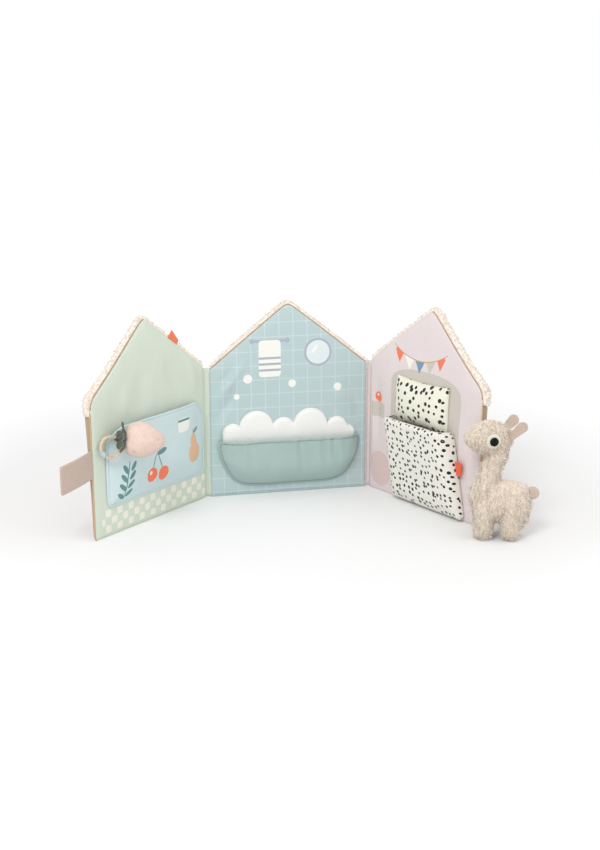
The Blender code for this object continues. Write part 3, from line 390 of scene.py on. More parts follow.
def linear(red, green, blue):
    """A colour as a screen shows it, 0 to 255, turned into the linear values that a shader takes."""
    values = []
    for value in (red, green, blue):
        share = value / 255
        values.append(share / 12.92 if share <= 0.04045 else ((share + 0.055) / 1.055) ** 2.4)
    return tuple(values)


def cloth_material(name, colour, thread=0.0009, bump=0.00012, blotch=0.05, sheen=0.15, pattern=None):
    """Woven cloth. A pattern takes the tree and the colour, and returns a patterned colour."""
    made, tree, shader = paint(name, 0.9, sheen)
    weave = add_node(tree, "ShaderNodeGroup", {"Thread": thread, "Blotch": blotch}, node_tree=WOVEN)
    base = pattern(tree, colour) if pattern else colour
    tree.links.new(blend_colour(tree, 1.0, base, weave.outputs["Shade"], "MULTIPLY"), shader.inputs["Base Color"])
    add_bump(tree, shader, weave.outputs["Height"], bump, 0.6)
    return made

# %% [markdown]
# Two patterns are printed all over a cloth: a fine white windowpane grid and small black dots. Both are
# worked out from the flat pattern's own coordinates, so they bend with the cloth.


# %% Grid and dots
GRID_PITCH = 0.0178
GRID_LINE = 0.0010
GRID_SHOWS = 0.34


def grid_pattern(tree, colour):
    """Thin white lines both ways."""
    lines = []
    for part in uv_parts(tree)[1:]:
        place = calc(tree, "FRACT", calc(tree, "DIVIDE", calc(tree, "ADD", part, 1.0), GRID_PITCH))
        far = calc(tree, "ABSOLUTE", calc(tree, "SUBTRACT", place, 0.5))
        lines.append(calc(tree, "LESS_THAN", far, GRID_LINE / GRID_PITCH / 2))
    either = calc(tree, "MAXIMUM", *lines)
    return blend_colour(tree, calc(tree, "MULTIPLY", either, GRID_SHOWS), colour, linear(232, 240, 239))


def dot_pattern(pitch, size):
    """Hand-drawn black dots: flat Voronoi cells, one rounded mark in each, some larger and some smaller."""
    def pattern(tree, colour):
        uv = uv_parts(tree)[0]
        bend = add_node(tree, "ShaderNodeTexNoise", {"Vector": uv, "Scale": 0.9 / pitch, "Detail": 1.0})
        shift = add_node(tree, "ShaderNodeVectorMath", {
            0: bend.outputs["Color"], 1: (size * 0.5, size * 0.5, 0.0), 2: uv}, operation="MULTIPLY_ADD")
        cells = add_node(tree, "ShaderNodeTexVoronoi", {
            "Vector": shift.outputs[0], "Scale": 1.0 / pitch, "Randomness": 0.80}, voronoi_dimensions="2D")
        split = add_node(tree, "ShaderNodeSeparateColor", {0: cells.outputs["Color"]})
        limit = calc(tree, "MULTIPLY_ADD", split.outputs[0], 0.22 * size / pitch, 0.40 * size / pitch)
        mark = calc(tree, "LESS_THAN", cells.outputs["Distance"], limit)
        return blend_colour(tree, mark, colour, linear(34, 34, 36))
    return pattern


# %% [markdown]
# ## Prints
# The cotton is printed with flat simple shapes. Each shape is a mask worked out from the cloth's own
# coordinates: an oval is where a scaled distance is under 1, a block where a superellipse is. The masks are
# laid over the cloth's colour one after the other, like the colours of a screen print.


# %% Print shapes


def shape_mask(tree, centre, half, turn=0.0, corner=2.0):
    """1 inside a shape of the flat cloth: corner 2 gives an oval, 8 a block with small corners, 1 a diamond."""
    place = add_node(tree, "ShaderNodeMapping", {
        "Vector": uv_parts(tree)[0], "Location": (*centre, 0.0), "Rotation": (0.0, 0.0, math.radians(turn)),
        "Scale": (*half, 1.0)}, vector_type="TEXTURE")
    split = add_node(tree, "ShaderNodeSeparateXYZ", {0: place.outputs[0]})
    across, along = [calc(tree, "POWER", calc(tree, "ABSOLUTE", split.outputs[k]), corner) for k in (0, 1)]
    return calc(tree, "LESS_THAN", calc(tree, "ADD", across, along), 1.0)


def printed(tree, colour, shapes):
    """Lay shapes over a colour: each is an ink, a centre and half sizes in mm, a turn and a corner."""
    for ink, x, z, wide, high, turn, corner in shapes:
        mask = shape_mask(tree, (x / 1000, z / 1000), (wide / 1000, high / 1000), turn, corner)
        colour = blend_colour(tree, mask, colour, linear(*ink))
    return colour


INK_TEAL, INK_TAN, INK_ORANGE, INK_WHITE = (96, 142, 142), (226, 184, 148), (244, 124, 92), (240, 240, 234)
INK_GREY, INK_TAUPE, INK_SAND, INK_BLUE = (172, 178, 190), (204, 196, 187), (206, 158, 116), (110, 152, 176)
INK_GLASS, INK_KNOB, INK_ROSE = (222, 232, 233), (190, 181, 171), (220, 196, 192)


def kitchen_print(tree, colour):
    """A pear, a cup, two cherries and a sprig of leaves."""
    shapes = [(INK_TAN, -136, 68, 12.5, 12, 0, 2.2), (INK_TAN, -137, 82, 7.2, 10, 6, 2),
              (INK_SAND, -138, 94.5, 0.8, 4.2, 12, 4), (INK_TEAL, -132.5, 95.5, 5.5, 2.2, 28, 2),
              (INK_WHITE, -158, 108, 10.8, 8.5, 0, 5), (INK_TEAL, -158, 114, 10.8, 1.4, 0, 8),
              (INK_ORANGE, -216, 60, 8.8, 8.8, 0, 2), (INK_ORANGE, -196, 57.5, 8.8, 8.8, 0, 2),
              (INK_TEAL, -211.5, 76, 0.7, 8.5, -22, 4), (INK_TEAL, -202, 74.5, 0.7, 9.5, 20, 4),
              (INK_TEAL, -199, 85.5, 8.5, 3.2, 14, 2), (INK_WHITE, -218.5, 63, 1.8, 2.6, -25, 2)]
    for k in range(4):
        lift = 46 + 10.5 * k
        shapes.append((INK_TEAL, -265.5 + 2 * k, lift, 6.4, 2.7, 142 - 8 * k, 2))
        shapes.append((INK_TEAL, -253.5 + 2 * k, lift + 2, 6.4, 2.7, 34 + 6 * k, 2))
    shapes.append((INK_TEAL, -257.5, 64, 0.8, 23, -9, 4))
    return printed(tree, colour, shapes)


def bath_print(tree, colour):
    """A towel on a rail, a round mirror and a few bubbles over the grid."""
    shapes = [(INK_GREY, -24, 196.5, 24, 1.8, 0, 8), (INK_GREY, -46, 196.5, 3.2, 3.2, 0, 2),
              (INK_GREY, -2, 196.5, 3.2, 3.2, 0, 2), (INK_WHITE, -24, 174.5, 14, 23, 0, 9)]
    shapes += [(INK_GREY, -24, 160 + 7.5 * k, 14, 1.4, 0, 12) for k in range(3)]
    shapes += [(INK_GREY, 37, 180, 17.5, 17.5, 0, 2), (INK_GLASS, 37, 180, 14.8, 14.8, 0, 2),
               (INK_WHITE, 33, 184, 2.2, 6.2, -38, 2)]
    for x, z, radius in ((4, 142, 4.8), (-52, 150, 5.6), (62, 135, 5), (-66, 128, 3.6)):
        shapes.append((INK_WHITE, x, z, radius, radius, 0, 2))
    return printed(tree, grid_pattern(tree, colour), shapes)


GARLAND_MIDDLE, GARLAND_LOW, GARLAND_SAG = 0.193, 0.1800, 7.0
GARLAND_HALF, GARLAND_CORD = 0.0460, 0.0006
PENNANT = (0.0078, 0.0150)
PENNANTS = [(0.158, INK_ORANGE), (0.1755, INK_WHITE), (0.193, INK_BLUE), (0.2105, INK_TAUPE), (0.228, INK_ORANGE)]


def bedroom_print(tree, colour):
    """A plain bed with a rounded headboard, a bedside box with a ball, a floor cushion and a garland."""
    colour = printed(tree, colour, [
        (INK_TAUPE, 206, 100, 60, 56, 0, 14), (INK_TAUPE, 206, 146, 60, 23, 0, 2.6),
        (INK_TAUPE, 121.5, 106, 12.5, 9.5, 0, 10), (INK_KNOB, 121.5, 106.5, 2.2, 1, 0, 2),
        (INK_ORANGE, 121.5, 122.5, 6.8, 6.8, 0, 2), (INK_WHITE, 119.5, 124.7, 1.6, 1.6, 0, 2),
        (INK_ROSE, 128, 30, 20, 23, 0, 2)])
    _, u, v = uv_parts(tree)
    aside = calc(tree, "SUBTRACT", u, GARLAND_MIDDLE)
    cord = calc(tree, "MULTIPLY_ADD", calc(tree, "POWER", aside, 2.0), GARLAND_SAG, GARLAND_LOW)
    below = calc(tree, "LESS_THAN", v, cord)
    for x, ink in PENNANTS:
        hung_at = GARLAND_LOW + GARLAND_SAG * (x - GARLAND_MIDDLE) ** 2
        flag = calc(tree, "MULTIPLY", below, shape_mask(tree, (x, hung_at), PENNANT, 0, 1.0))
        colour = blend_colour(tree, flag, colour, linear(*ink))
    near = calc(tree, "LESS_THAN", calc(tree, "ABSOLUTE", calc(tree, "SUBTRACT", v, cord)), GARLAND_CORD)
    inside = calc(tree, "LESS_THAN", calc(tree, "ABSOLUTE", aside), GARLAND_HALF)
    return blend_colour(tree, calc(tree, "MULTIPLY", near, inside), colour, linear(*INK_SAND))

# %% [markdown]
# ## The cloths
# Each page and pocket has a cloth of its own: sage, pale blue and lilac cotton for the pages, black dots on
# cream for the bedding and a finer jersey for the tub. Colours are given as a screen shows them.


# %% Cloths
GREEN = cloth_material("sage_cotton", linear(210, 220, 205))
BLUE = cloth_material("blue_cotton", linear(184, 203, 204), pattern=bath_print)
LILAC = cloth_material("lilac_cotton", linear(226, 214, 214), pattern=bedroom_print)
POCKET_BLUE = cloth_material("pocket_cotton", linear(203, 221, 223), pattern=kitchen_print)
TUB_TEAL = cloth_material("tub_jersey", linear(168, 190, 186), thread=0.0007, blotch=0.08)
DOTTED_LARGE = cloth_material("pillow_cotton", linear(236, 234, 218), pattern=dot_pattern(0.0094, 0.0043))
DOTTED_SMALL = cloth_material("duvet_cotton", linear(236, 233, 224), pattern=dot_pattern(0.0076, 0.0034))
BROWN = cloth_material("brown_cloth", linear(178, 158, 132), thread=0.0012, bump=0.0002)
print("cloths mixed:", len([m for m in bpy.data.materials if m.name.endswith(("cotton", "cloth", "jersey"))]))

# %% [markdown]
# ## One builder for padded shapes
# Pages, pockets and cushions are all two cloths sewn together round an outline. One builder makes them:
# a grid of points for the front, one for the back, and rings round the rim between the two. The flat
# pattern's x and z go into a UV map, so a weave or a print keeps its true size.


# %% The padded shape


def steps(low, high, pitch, ease=0.55):
    """Places from low to high, closer together at the ends, where cloth turns in."""
    count = max(round((high - low) / pitch), 4)
    found = []
    for i in range(count + 1):
        share = i / count
        eased = 0.5 - 0.5 * math.cos(math.pi * share)
        found.append(low + (high - low) * (share + (eased - share) * ease))
    return found


def between(low, high, pitch, ease=0.55):
    """Heights from low to high, closer together at both ends."""
    return [low + (high - low) * share for share in steps(0.0, 1.0, pitch, ease)]


def finish_mesh(name, bm, material, side="centre"):
    """Put a bmesh of the flat layout in its place and make it an object."""
    mesh = bpy.data.meshes.new(name)
    bm.to_mesh(mesh)
    bm.free()
    mesh.transform(PLACED[side])
    mesh.materials.append(material)
    mesh.shade_smooth()
    return in_scene(name, mesh)


def grid_shell(columns, rows_of, front, back, bulge=None, rim_steps=1):
    """A closed bmesh: front grid, back grid and the rim between them. bulge(x, z) pushes the rim out."""
    bm = bmesh.new()
    uv = bm.loops.layers.uv.new("cloth")
    flat = {}

    def point(x, y, z, pattern=None):
        vert = bm.verts.new((x, y, z))
        flat[vert] = pattern or (x, z)
        return vert

    rows = [rows_of(x) for x in columns]
    fronts = [[point(x, front(x, z), z) for z in rows[i]] for i, x in enumerate(columns)]
    backs = [[point(x, back(x, z), z) for z in rows[i]] for i, x in enumerate(columns)]
    last_column, last_row = len(columns) - 1, len(rows[0]) - 1
    for i in range(last_column):
        for j in range(last_row):
            bm.faces.new((fronts[i][j], fronts[i + 1][j], fronts[i + 1][j + 1], fronts[i][j + 1]))
            bm.faces.new((backs[i][j], backs[i][j + 1], backs[i + 1][j + 1], backs[i + 1][j]))
    loop = [(i, 0) for i in range(last_column)] + [(last_column, j) for j in range(last_row)]
    loop += [(i, last_row) for i in range(last_column, 0, -1)] + [(0, j) for j in range(last_row, 0, -1)]
    count = len(loop)
    rings = [[fronts[i][j] for i, j in loop]]
    for k in range(1, rim_steps):
        share = k / rim_steps
        ring = []
        for n, (i, j) in enumerate(loop):
            before, after = rings[0][n - 1].co, rings[0][(n + 1) % count].co
            along = Vector((after.x - before.x, after.z - before.z)).normalized()
            push = (bulge(fronts[i][j].co.x, fronts[i][j].co.z) if bulge else 0.0) * math.sin(math.pi * share)
            a, b = fronts[i][j].co, backs[i][j].co
            ring.append(point(a.x + along.y * push, a.y + (b.y - a.y) * share, a.z - along.x * push,
                              (a.x + along.y * share * 0.01, a.z - along.x * share * 0.01)))
        rings.append(ring)
    rings.append([backs[i][j] for i, j in loop])
    for inner, outer in zip(rings, rings[1:]):
        for n in range(count):
            m = (n + 1) % count
            bm.faces.new((inner[n], outer[n], outer[m], inner[m]))
    for face in bm.faces:
        for corner in face.loops:
            corner[uv].uv = flat[corner.vert]
    bmesh.ops.recalc_face_normals(bm, faces=bm.faces[:])
    return bm


def box_mm(piece):
    """Sizes of a piece in mm, for the printed lines."""
    spots = [piece.data.vertices[i].co for i in range(len(piece.data.vertices))]
    return [round(1000 * (max(p[k] for p in spots) - min(p[k] for p in spots)), 1) for k in range(3)]

# %% [markdown]
# ## Fronts of the three pages
# Each front is printed cotton over thin wadding. Cotton that is sewn to a seam and turned over wadding
# never lies flat: it dips to the seam, puckers in short wrinkles there and sags a little in the middle. The
# wrinkles are seeded noise that fades away from the seam; long soft creases run down beside a fold.


# %% How the cotton lies
SEAM_PUCKER = 0.00042
SAG = 0.0007


def pucker(page, x, z, seed):
    """Short wrinkles that run away from the nearest seam."""
    inside = edge_distance(page, x, z)
    to_side = min(x - page["low"], page["high"] - x)
    along = z if to_side < min(z, 0.4) and to_side <= inside * 1.05 else x
    wave = noise.noise(Vector((along / 0.0065, inside / 0.030, seed)))
    return SEAM_PUCKER * wave * math.exp(-inside / 0.013) * full(inside, 0.004)


CREASE_GAIN = 2.0


def crease(x, z, foot, top, width, depth):
    """A soft ridge between two points of the page, deepest in its middle."""
    start, end = Vector(foot), Vector(top)
    run = end - start
    share = max(0.0, min(1.0, (Vector((x, z)) - start).dot(run) / run.length_squared))
    away = (Vector((x, z)) - start - run * share).length
    return CREASE_GAIN * depth * math.sin(math.pi * share) * math.exp(-(away / width) ** 2)


CREASES = {
    "left": [
        ((-0.122, 0.140), (-0.138, 0.205), 0.007, 0.0011), ((-0.150, 0.135), (-0.175, 0.190), 0.010, -0.0010),
        ((-0.215, 0.135), (-0.222, 0.185), 0.011, -0.0008), ((-0.250, 0.130), (-0.240, 0.175), 0.009, 0.0007)],
    "centre": [
        ((-0.095, 0.118), (-0.052, 0.176), 0.006, 0.0015), ((-0.094, 0.095), (-0.060, 0.140), 0.006, -0.0013),
        ((-0.097, 0.070), (-0.072, 0.118), 0.005, 0.0011), ((-0.088, 0.140), (-0.068, 0.168), 0.005, -0.0010),
        ((0.094, 0.088), (0.074, 0.150), 0.007, -0.0011), ((0.088, 0.100), (0.050, 0.135), 0.008, 0.0009),
        ((0.096, 0.024), (0.080, 0.060), 0.006, 0.0010)],
    "right": [
        ((0.112, 0.030), (0.114, 0.120), 0.005, 0.0015), ((0.121, 0.060), (0.119, 0.150), 0.006, -0.0016),
        ((0.130, 0.120), (0.148, 0.188), 0.008, 0.0010), ((0.268, 0.110), (0.262, 0.160), 0.008, -0.0008),
        ((0.285, 0.030), (0.288, 0.120), 0.007, 0.0012)],
}


def cotton_front(side, x, z):
    """Depth of a page's printed cotton."""
    page = PAGES[side]
    seed = {"left": 3.1, "centre": 7.7, "right": 12.4}[side]
    inside = edge_distance(page, x, z)
    turned_in = 0.0013 * (1.0 - rounded(inside, 0.0035))
    soft = SAG * ripple(x, z, 0.055, seed) + 0.0003 * ripple(x, z, 0.020, seed + 9)
    worn = sum(crease(x, z, *one) for one in CREASES[side])
    depth = front_face(page, x, z) + turned_in + pucker(page, x, z, seed)
    return depth + (soft - worn) * full(inside, 0.018)


def page_front(side, material):
    """The padded front of one page, down to the seam."""
    page = PAGES[side]
    columns = steps(page["low"], page["ridge"], 0.0022)[:-1] + steps(page["ridge"], page["high"], 0.0022)
    bm = grid_shell(columns, lambda x: between(page_bottom(page, x), page_top(page, x), 0.0105),
                    lambda x, z: cotton_front(side, x, z),
                    lambda x, z: lean(page, x, z) + COVER_DEPTH,
                    bulge=lambda x, z: 0.0003, rim_steps=2)
    piece = finish_mesh(side + "_page_front", bm, material, side)
    print(piece.name, box_mm(piece), "mm,", len(piece.data.polygons), "faces")
    return piece


# %% [markdown]
# The left page carries a strip of staggered light checks along its foot. Whole cells are counted along and
# up the cloth, every second one is filled, and its corners are rounded by a distance.


# %% Check strip
CHECK_PITCH = 0.0094
CHECK_ROWS = 3.0
CHECK_FOOT = 0.0050
CHECK_START, CHECK_STOP = -0.2905, -0.1085


def check_strip(tree, colour):
    """Cream rounded squares in three staggered rows."""
    _, u, v = uv_parts(tree)
    shake = calc(tree, "MULTIPLY", calc(tree, "SUBTRACT", own_noise(tree, 260.0), 0.5), 0.22)
    across = calc(tree, "ADD", calc(tree, "DIVIDE", calc(tree, "ADD", u, 1.0), CHECK_PITCH), shake)
    up = calc(tree, "ADD", calc(tree, "DIVIDE", calc(tree, "SUBTRACT", v, CHECK_FOOT), CHECK_PITCH), shake)
    cell = calc(tree, "ADD", calc(tree, "FLOOR", across), calc(tree, "FLOOR", up))
    mask = calc(tree, "LESS_THAN", calc(tree, "MODULO", cell, 2.0), 0.5)
    far = []
    for part in (across, up):
        centred = calc(tree, "ABSOLUTE", calc(tree, "SUBTRACT", calc(tree, "FRACT", part), 0.5))
        beyond = calc(tree, "MAXIMUM", calc(tree, "SUBTRACT", centred, 0.24), 0.0)
        far.append(calc(tree, "POWER", beyond, 2.0))
    corner = calc(tree, "SQRT", calc(tree, "ADD", *far))
    for limit in (("LESS_THAN", corner, 0.215), ("GREATER_THAN", up, 0.0), ("LESS_THAN", up, CHECK_ROWS),
                  ("GREATER_THAN", u, CHECK_START), ("LESS_THAN", u, CHECK_STOP)):
        mask = calc(tree, "MULTIPLY", mask, calc(tree, *limit))
    return blend_colour(tree, mask, colour, linear(236, 236, 221))


GREEN_CHECKED = cloth_material("sage_checked", linear(210, 220, 205), pattern=check_strip)
FRONTS = {"left": page_front("left", GREEN_CHECKED),
          "centre": page_front("centre", BLUE),
          "right": page_front("right", LILAC)}

# %% [markdown]
# ## Backs, plush roofs and folds
# Behind the front lies a loose brown back cloth, and over the gable a curly teddy plush. Both are the same
# padded shape with a rounder rim. On the outer sides the back cloth bulges past the seam.


# %% Back cloths
BACK_SIDE_BULGE = 0.0010
BEHIND_COVER = COVER_DEPTH + 0.0003


def back_depth(page, x, z):
    """Depth of a page's back: thin at folds and foot, thick at the roof."""
    rise = min(max(z / EAVE_HEIGHT, 0.0), 1.0)
    fold = min(page["high"] - x if page["open_low"] else x - page["low"],
               page["high"] - x if not page["open_high"] else 1.0)
    away = min(max(fold / 0.040, 0.0), 1.0)
    rim = 0.0042 + 0.0068 * rise ** 1.5 * away
    thick = 0.0085 + 0.0060 * rise
    return lean(page, x, z) + rim + (thick - rim) * full(edge_distance(page, x, z), PUFF_WIDTH)


def wall_back(side):
    """The brown back cloth below the plush."""
    page = PAGES[side]
    seed = {"left": 21.0, "centre": 24.0, "right": 27.0}[side]
    columns = steps(page["low"], page["high"], 0.0045)

    def rows_of(x):
        return between(page_bottom(page, x), ROOF_SEAM_HEIGHT, 0.035)
    def back(x, z):
        inside = min(edge_distance(page, x, z), ROOF_SEAM_HEIGHT - z)
        soft = 0.0009 * ripple(x, z, 0.045, seed) + 0.0004 * ripple(x, z, 0.016, seed + 4)
        return back_depth(page, x, z) + soft * full(inside, 0.020)

    def bulge(x, z):
        if open_distance(page, x) > 0.002:
            return 0.0006
        return BACK_SIDE_BULGE * min(max((z - 0.012) / 0.070, 0.0), 1.0) ** 1.2 + 0.0006

    bm = grid_shell(columns, rows_of, lambda x, z: lean(page, x, z) + BEHIND_COVER, back, bulge, 6)
    piece = finish_mesh(side + "_wall_cloth", bm, BROWN, side)
    print(piece.name, box_mm(piece), "mm")
    return piece


BACKS = {side: wall_back(side) for side in PAGES}

# %% [markdown]
# The plush roof is a lumpy shell. Its curls are repeated, so Geometry Nodes plant one small bent tuft on
# many seeded points of the shell and turn each one about its own stem.


# %% Tufts by Geometry Nodes


def node_input(modifier, label):
    """The identifier of a Geometry Nodes input, looked up by its name."""
    for item in modifier.node_group.interface.items_tree:
        if item.item_type == "SOCKET" and item.in_out == "INPUT" and item.name == label:
            return item.identifier
    raise KeyError(label)


def geometry_tree(name, inputs):
    """An empty Geometry Nodes tree with named inputs: label, socket type, default."""
    tree = bpy.data.node_groups.new(name, "GeometryNodeTree")
    tree.interface.new_socket(name="Geometry", in_out="INPUT", socket_type="NodeSocketGeometry")
    for label, kind, value in inputs:
        socket = tree.interface.new_socket(name=label, in_out="INPUT", socket_type=kind)
        if value is not None:
            socket.default_value = value
    tree.interface.new_socket(name="Geometry", in_out="OUTPUT", socket_type="NodeSocketGeometry")
    return tree, tree.nodes.new("NodeGroupInput"), tree.nodes.new("NodeGroupOutput")


def tuft_mesh(name, sides, curve, taper):
    """A bent tuft of unit length along Z: a few rings that narrow to a point."""
    bm = bmesh.new()
    rings = []
    for level, radius in ((0.0, 1.0), (0.4, 0.92), (0.78, 0.60)):
        bend = curve * level ** 1.6
        rings.append([bm.verts.new((bend + radius * taper * math.cos(2 * math.pi * k / sides),
                                    radius * taper * math.sin(2 * math.pi * k / sides),
                                    level * (1.0 - 0.3 * abs(curve)))) for k in range(sides)])
    tip = bm.verts.new((curve, 0.0, 1.0 - 0.35 * abs(curve)))
    for low, high in zip(rings, rings[1:]):
        for k in range(sides):
            bm.faces.new((low[k], low[(k + 1) % sides], high[(k + 1) % sides], high[k]))
    for k in range(sides):
        bm.faces.new((rings[-1][k], rings[-1][(k + 1) % sides], tip))
    bm.faces.new(list(reversed(rings[0])))
    bmesh.ops.recalc_face_normals(bm, faces=bm.faces[:])
    mesh = bpy.data.meshes.new(name)
    bm.to_mesh(mesh)
    bm.free()
    mesh.shade_smooth()
    made = bpy.data.objects.new(name, mesh)
    made.hide_render = True
    return made


def finish_tree(tree, put, given, outlet):
    """Turn instances into real meshes and give them their material."""
    real = add_node(tree, "GeometryNodeRealizeInstances", {0: put.outputs[0]})
    finish = add_node(tree, "GeometryNodeSetMaterial", {"Geometry": real.outputs[0], "Material": given["Finish"]})
    tree.links.new(finish.outputs[0], outlet.inputs[0])


def planting_tree():
    """Plants a tuft on seeded points of a surface, each leaning along a comb direction."""
    tree, inlet, outlet = geometry_tree("plant_tufts", [
        ("Tuft", "NodeSocketObject", None), ("Spacing", "NodeSocketFloat", 0.002),
        ("Density", "NodeSocketFloat", 100000.0), ("Length", "NodeSocketFloat", 0.003),
        ("Lean", "NodeSocketFloat", 0.6), ("Comb", "NodeSocketVector", (0.0, 0.0, -1.0)),
        ("Seed", "NodeSocketInt", 1), ("Finish", "NodeSocketMaterial", None)])
    given = inlet.outputs
    scatter = add_node(tree, "GeometryNodeDistributePointsOnFaces", {
        "Mesh": given["Geometry"], "Distance Min": given["Spacing"], "Density Max": given["Density"],
        "Seed": given["Seed"]}, distribute_method="POISSON")
    combed = add_node(tree, "ShaderNodeVectorMath", {0: given["Comb"], "Scale": given["Lean"]}, operation="SCALE")
    shake = add_node(tree, "FunctionNodeRandomValue", {
        "Min": (-0.35, -0.35, -0.35), "Max": (0.35, 0.35, 0.35), "Seed": given["Seed"]}, data_type="FLOAT_VECTOR")
    aim = add_node(tree, "ShaderNodeVectorMath", {0: scatter.outputs["Normal"], 1: combed.outputs[0]},
                   operation="ADD")
    shaken = add_node(tree, "ShaderNodeVectorMath", {0: aim.outputs[0], 1: shake.outputs["Value"]},
                      operation="ADD")
    stand = add_node(tree, "FunctionNodeAlignRotationToVector", {"Vector": shaken.outputs[0]}, axis="Z")
    spin = add_node(tree, "FunctionNodeRandomValue", {
        "Min": (0.0, 0.0, 0.0), "Max": (0.0, 0.0, 2 * math.pi), "Seed": given["Seed"]}, data_type="FLOAT_VECTOR")
    euler = add_node(tree, "FunctionNodeEulerToRotation", {0: spin.outputs["Value"]})
    turn = add_node(tree, "FunctionNodeRotateRotation", {
        "Rotation": stand.outputs[0], "Rotate By": euler.outputs[0]}, rotation_space="LOCAL")
    size = add_node(tree, "FunctionNodeRandomValue", {2: 0.70, 3: 1.15, "Seed": given["Seed"]}, data_type="FLOAT")
    source = add_node(tree, "GeometryNodeObjectInfo", {"Object": given["Tuft"]})
    put = add_node(tree, "GeometryNodeInstanceOnPoints", {
        "Points": scatter.outputs["Points"], "Instance": source.outputs["Geometry"], "Rotation": turn.outputs[0],
        "Scale": calc(tree, "MULTIPLY", size.outputs[1], given["Length"])})
    finish_tree(tree, put, given, outlet)
    return tree


PLANTING = planting_tree()


def plain_from(source, name):
    """The evaluated object as a plain mesh in a new object; the source goes away."""
    depsgraph = bpy.context.evaluated_depsgraph_get()
    mesh = bpy.data.meshes.new_from_object(source.evaluated_get(depsgraph))
    mesh.name = name
    made = in_scene(name, mesh)
    bpy.data.objects.remove(source)
    return made


def planted(name, ground, tuft, material, spacing, length, comb=(0, 0, -1), lean_by=0.6, seed=1, density=None):
    """Tufts on a surface as one plain mesh. The ground is a copy that is used up."""
    modifier = ground.modifiers.new("tufts", "NODES")
    modifier.node_group = PLANTING
    for label, value in (("Tuft", tuft), ("Spacing", spacing), ("Length", length), ("Lean", lean_by),
                         ("Comb", comb), ("Seed", seed), ("Finish", material),
                         ("Density", density or 1.6 / spacing ** 2)):
        modifier[node_input(modifier, label)] = value
    made = plain_from(ground, name)
    made.data.shade_smooth()
    print(name, len(made.data.polygons), "faces")
    return made


def copy_of(piece, keep):
    """A copy of a piece that holds only the faces whose centre passes keep()."""
    bm = bmesh.new()
    bm.from_mesh(piece.data)
    bmesh.ops.delete(bm, geom=[f for f in bm.faces if not keep(f)], context="FACES")
    mesh = bpy.data.meshes.new("ground")
    bm.to_mesh(mesh)
    bm.free()
    return in_scene("ground", mesh)


def pile_material(name, colour, dark, sheen=0.4, scale=420.0):
    """Plush: a colour with painted shade where its bump sinks in, as deep in the pile, and a soft sheen at its rim.
    """
    made, tree, shader = paint(name, 0.95, sheen, 0.15)
    patch = own_noise(tree, scale, 4.0)
    # Painted shade: where the noise is low, the bump sinks and the colour goes to the dark one.
    tree.links.new(blend_colour(tree, ranged(tree, patch, 0.35, 0.62), dark, colour), shader.inputs["Base Color"])
    add_bump(tree, shader, patch, 0.0006, 0.7)
    return made


TEDDY = pile_material("teddy_plush", linear(249, 241, 231), linear(228, 214, 198), scale=300.0)

# %% [markdown]
# The plush stands proud of the roof's edge at the open sides, where nothing presses on it. Its shell has
# seeded lumps, and the curls are planted all over it but for the face that lies against the page.

# %% Plush roofs
ROOF_PROUD = {"left": 0.0026, "centre": 0.0026, "right": 0.0028}
ROOF_FLUFF = {"left": -0.0014, "centre": 0.0006, "right": 0.0004}


def roof_plush(side):
    """The teddy shell over one gable, then its curls."""
    page = PAGES[side]
    seed = {"left": 31.0, "centre": 34.0, "right": 37.0}[side]
    slant = math.hypot(1.0, ROOF_SLOPE)
    flat_columns = steps(page["low"], page["ridge"], 0.0036)[:-1] + steps(page["ridge"], page["high"], 0.0036)

    def proud(x):
        share = max(1.0 - open_distance(page, x) / PUFF_WIDTH, 0.0)
        return x + math.copysign(ROOF_PROUD[side] * share, x - page["ridge"])

    cover_x = {proud(x): x for x in flat_columns}

    def rows_of(x):
        top = page_top(page, cover_x[x]) + ROOF_PROUD[side] * slant
        return between(ROOF_SEAM_HEIGHT + 0.0003, top, 0.05)

    def back(x, z):
        lump = 0.0010 * ripple(x, z, 0.010, seed) + 0.0012 * ripple(x, z, 0.030, seed + 3)
        return back_depth(page, cover_x[x], z) + ROOF_FLUFF[side] + lump

    bm = grid_shell([proud(x) for x in flat_columns], rows_of,
                    lambda x, z: lean(page, cover_x[x], z) + BEHIND_COVER, back,
                    bulge=lambda x, z: 0.0016 + 0.0009 * ripple(x, z, 0.008, seed + 6), rim_steps=6)
    shell = finish_mesh(side + "_roof_shell", bm, TEDDY, side)
    facing = PLACED[side].to_3x3() @ Vector((0.0, -1.0, 0.0))
    ground = copy_of(shell, lambda f: f.normal.dot(facing) < 0.75 and f.normal.z > -0.9)
    curls = planted(side + "_roof_curls", ground, CURL, TEDDY, 0.0019, 0.0026, comb=(0, 0, -1), lean_by=0.35,
                    seed=round(seed))
    return shell, curls


CURL = tuft_mesh("curl", 4, 0.75, 0.26)
ROOFS = {side: roof_plush(side) for side in PAGES}

# %% [markdown]
# ## Handing pieces to the frame
# Each finished piece is parented to an empty for the body it moves with, and the imported solids that it
# stands for are hidden.


# %% Bodies
PAGE_BODY = {"left": "left_page", "centre": "centre_page", "right": "right_page"}


def hand_over(piece, body, *nodes, fill=None, slot=None):
    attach(piece, body)
    if nodes:
        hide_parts(*nodes)


for side in PAGES:
    hand_over(FRONTS[side], PAGE_BODY[side], side + "_front_cover", side + "_wadding", fill=0.5)
    hand_over(BACKS[side], PAGE_BODY[side], side + "_wall_back", fill=0.4)
    shell, curls = ROOFS[side]
    hand_over(shell, PAGE_BODY[side], side + "_roof_plush", fill=0.5)
    hand_over(curls, PAGE_BODY[side], slot="teddy_plush")

# %% [markdown]
# ## Stitches
# A sewn line is a row of short thread arcs that dip into the cloth at both ends. Geometry Nodes walk along a
# drawn line, set one small bead of thread at every pitch and turn it along the line.


# %% Stitch lines by Geometry Nodes


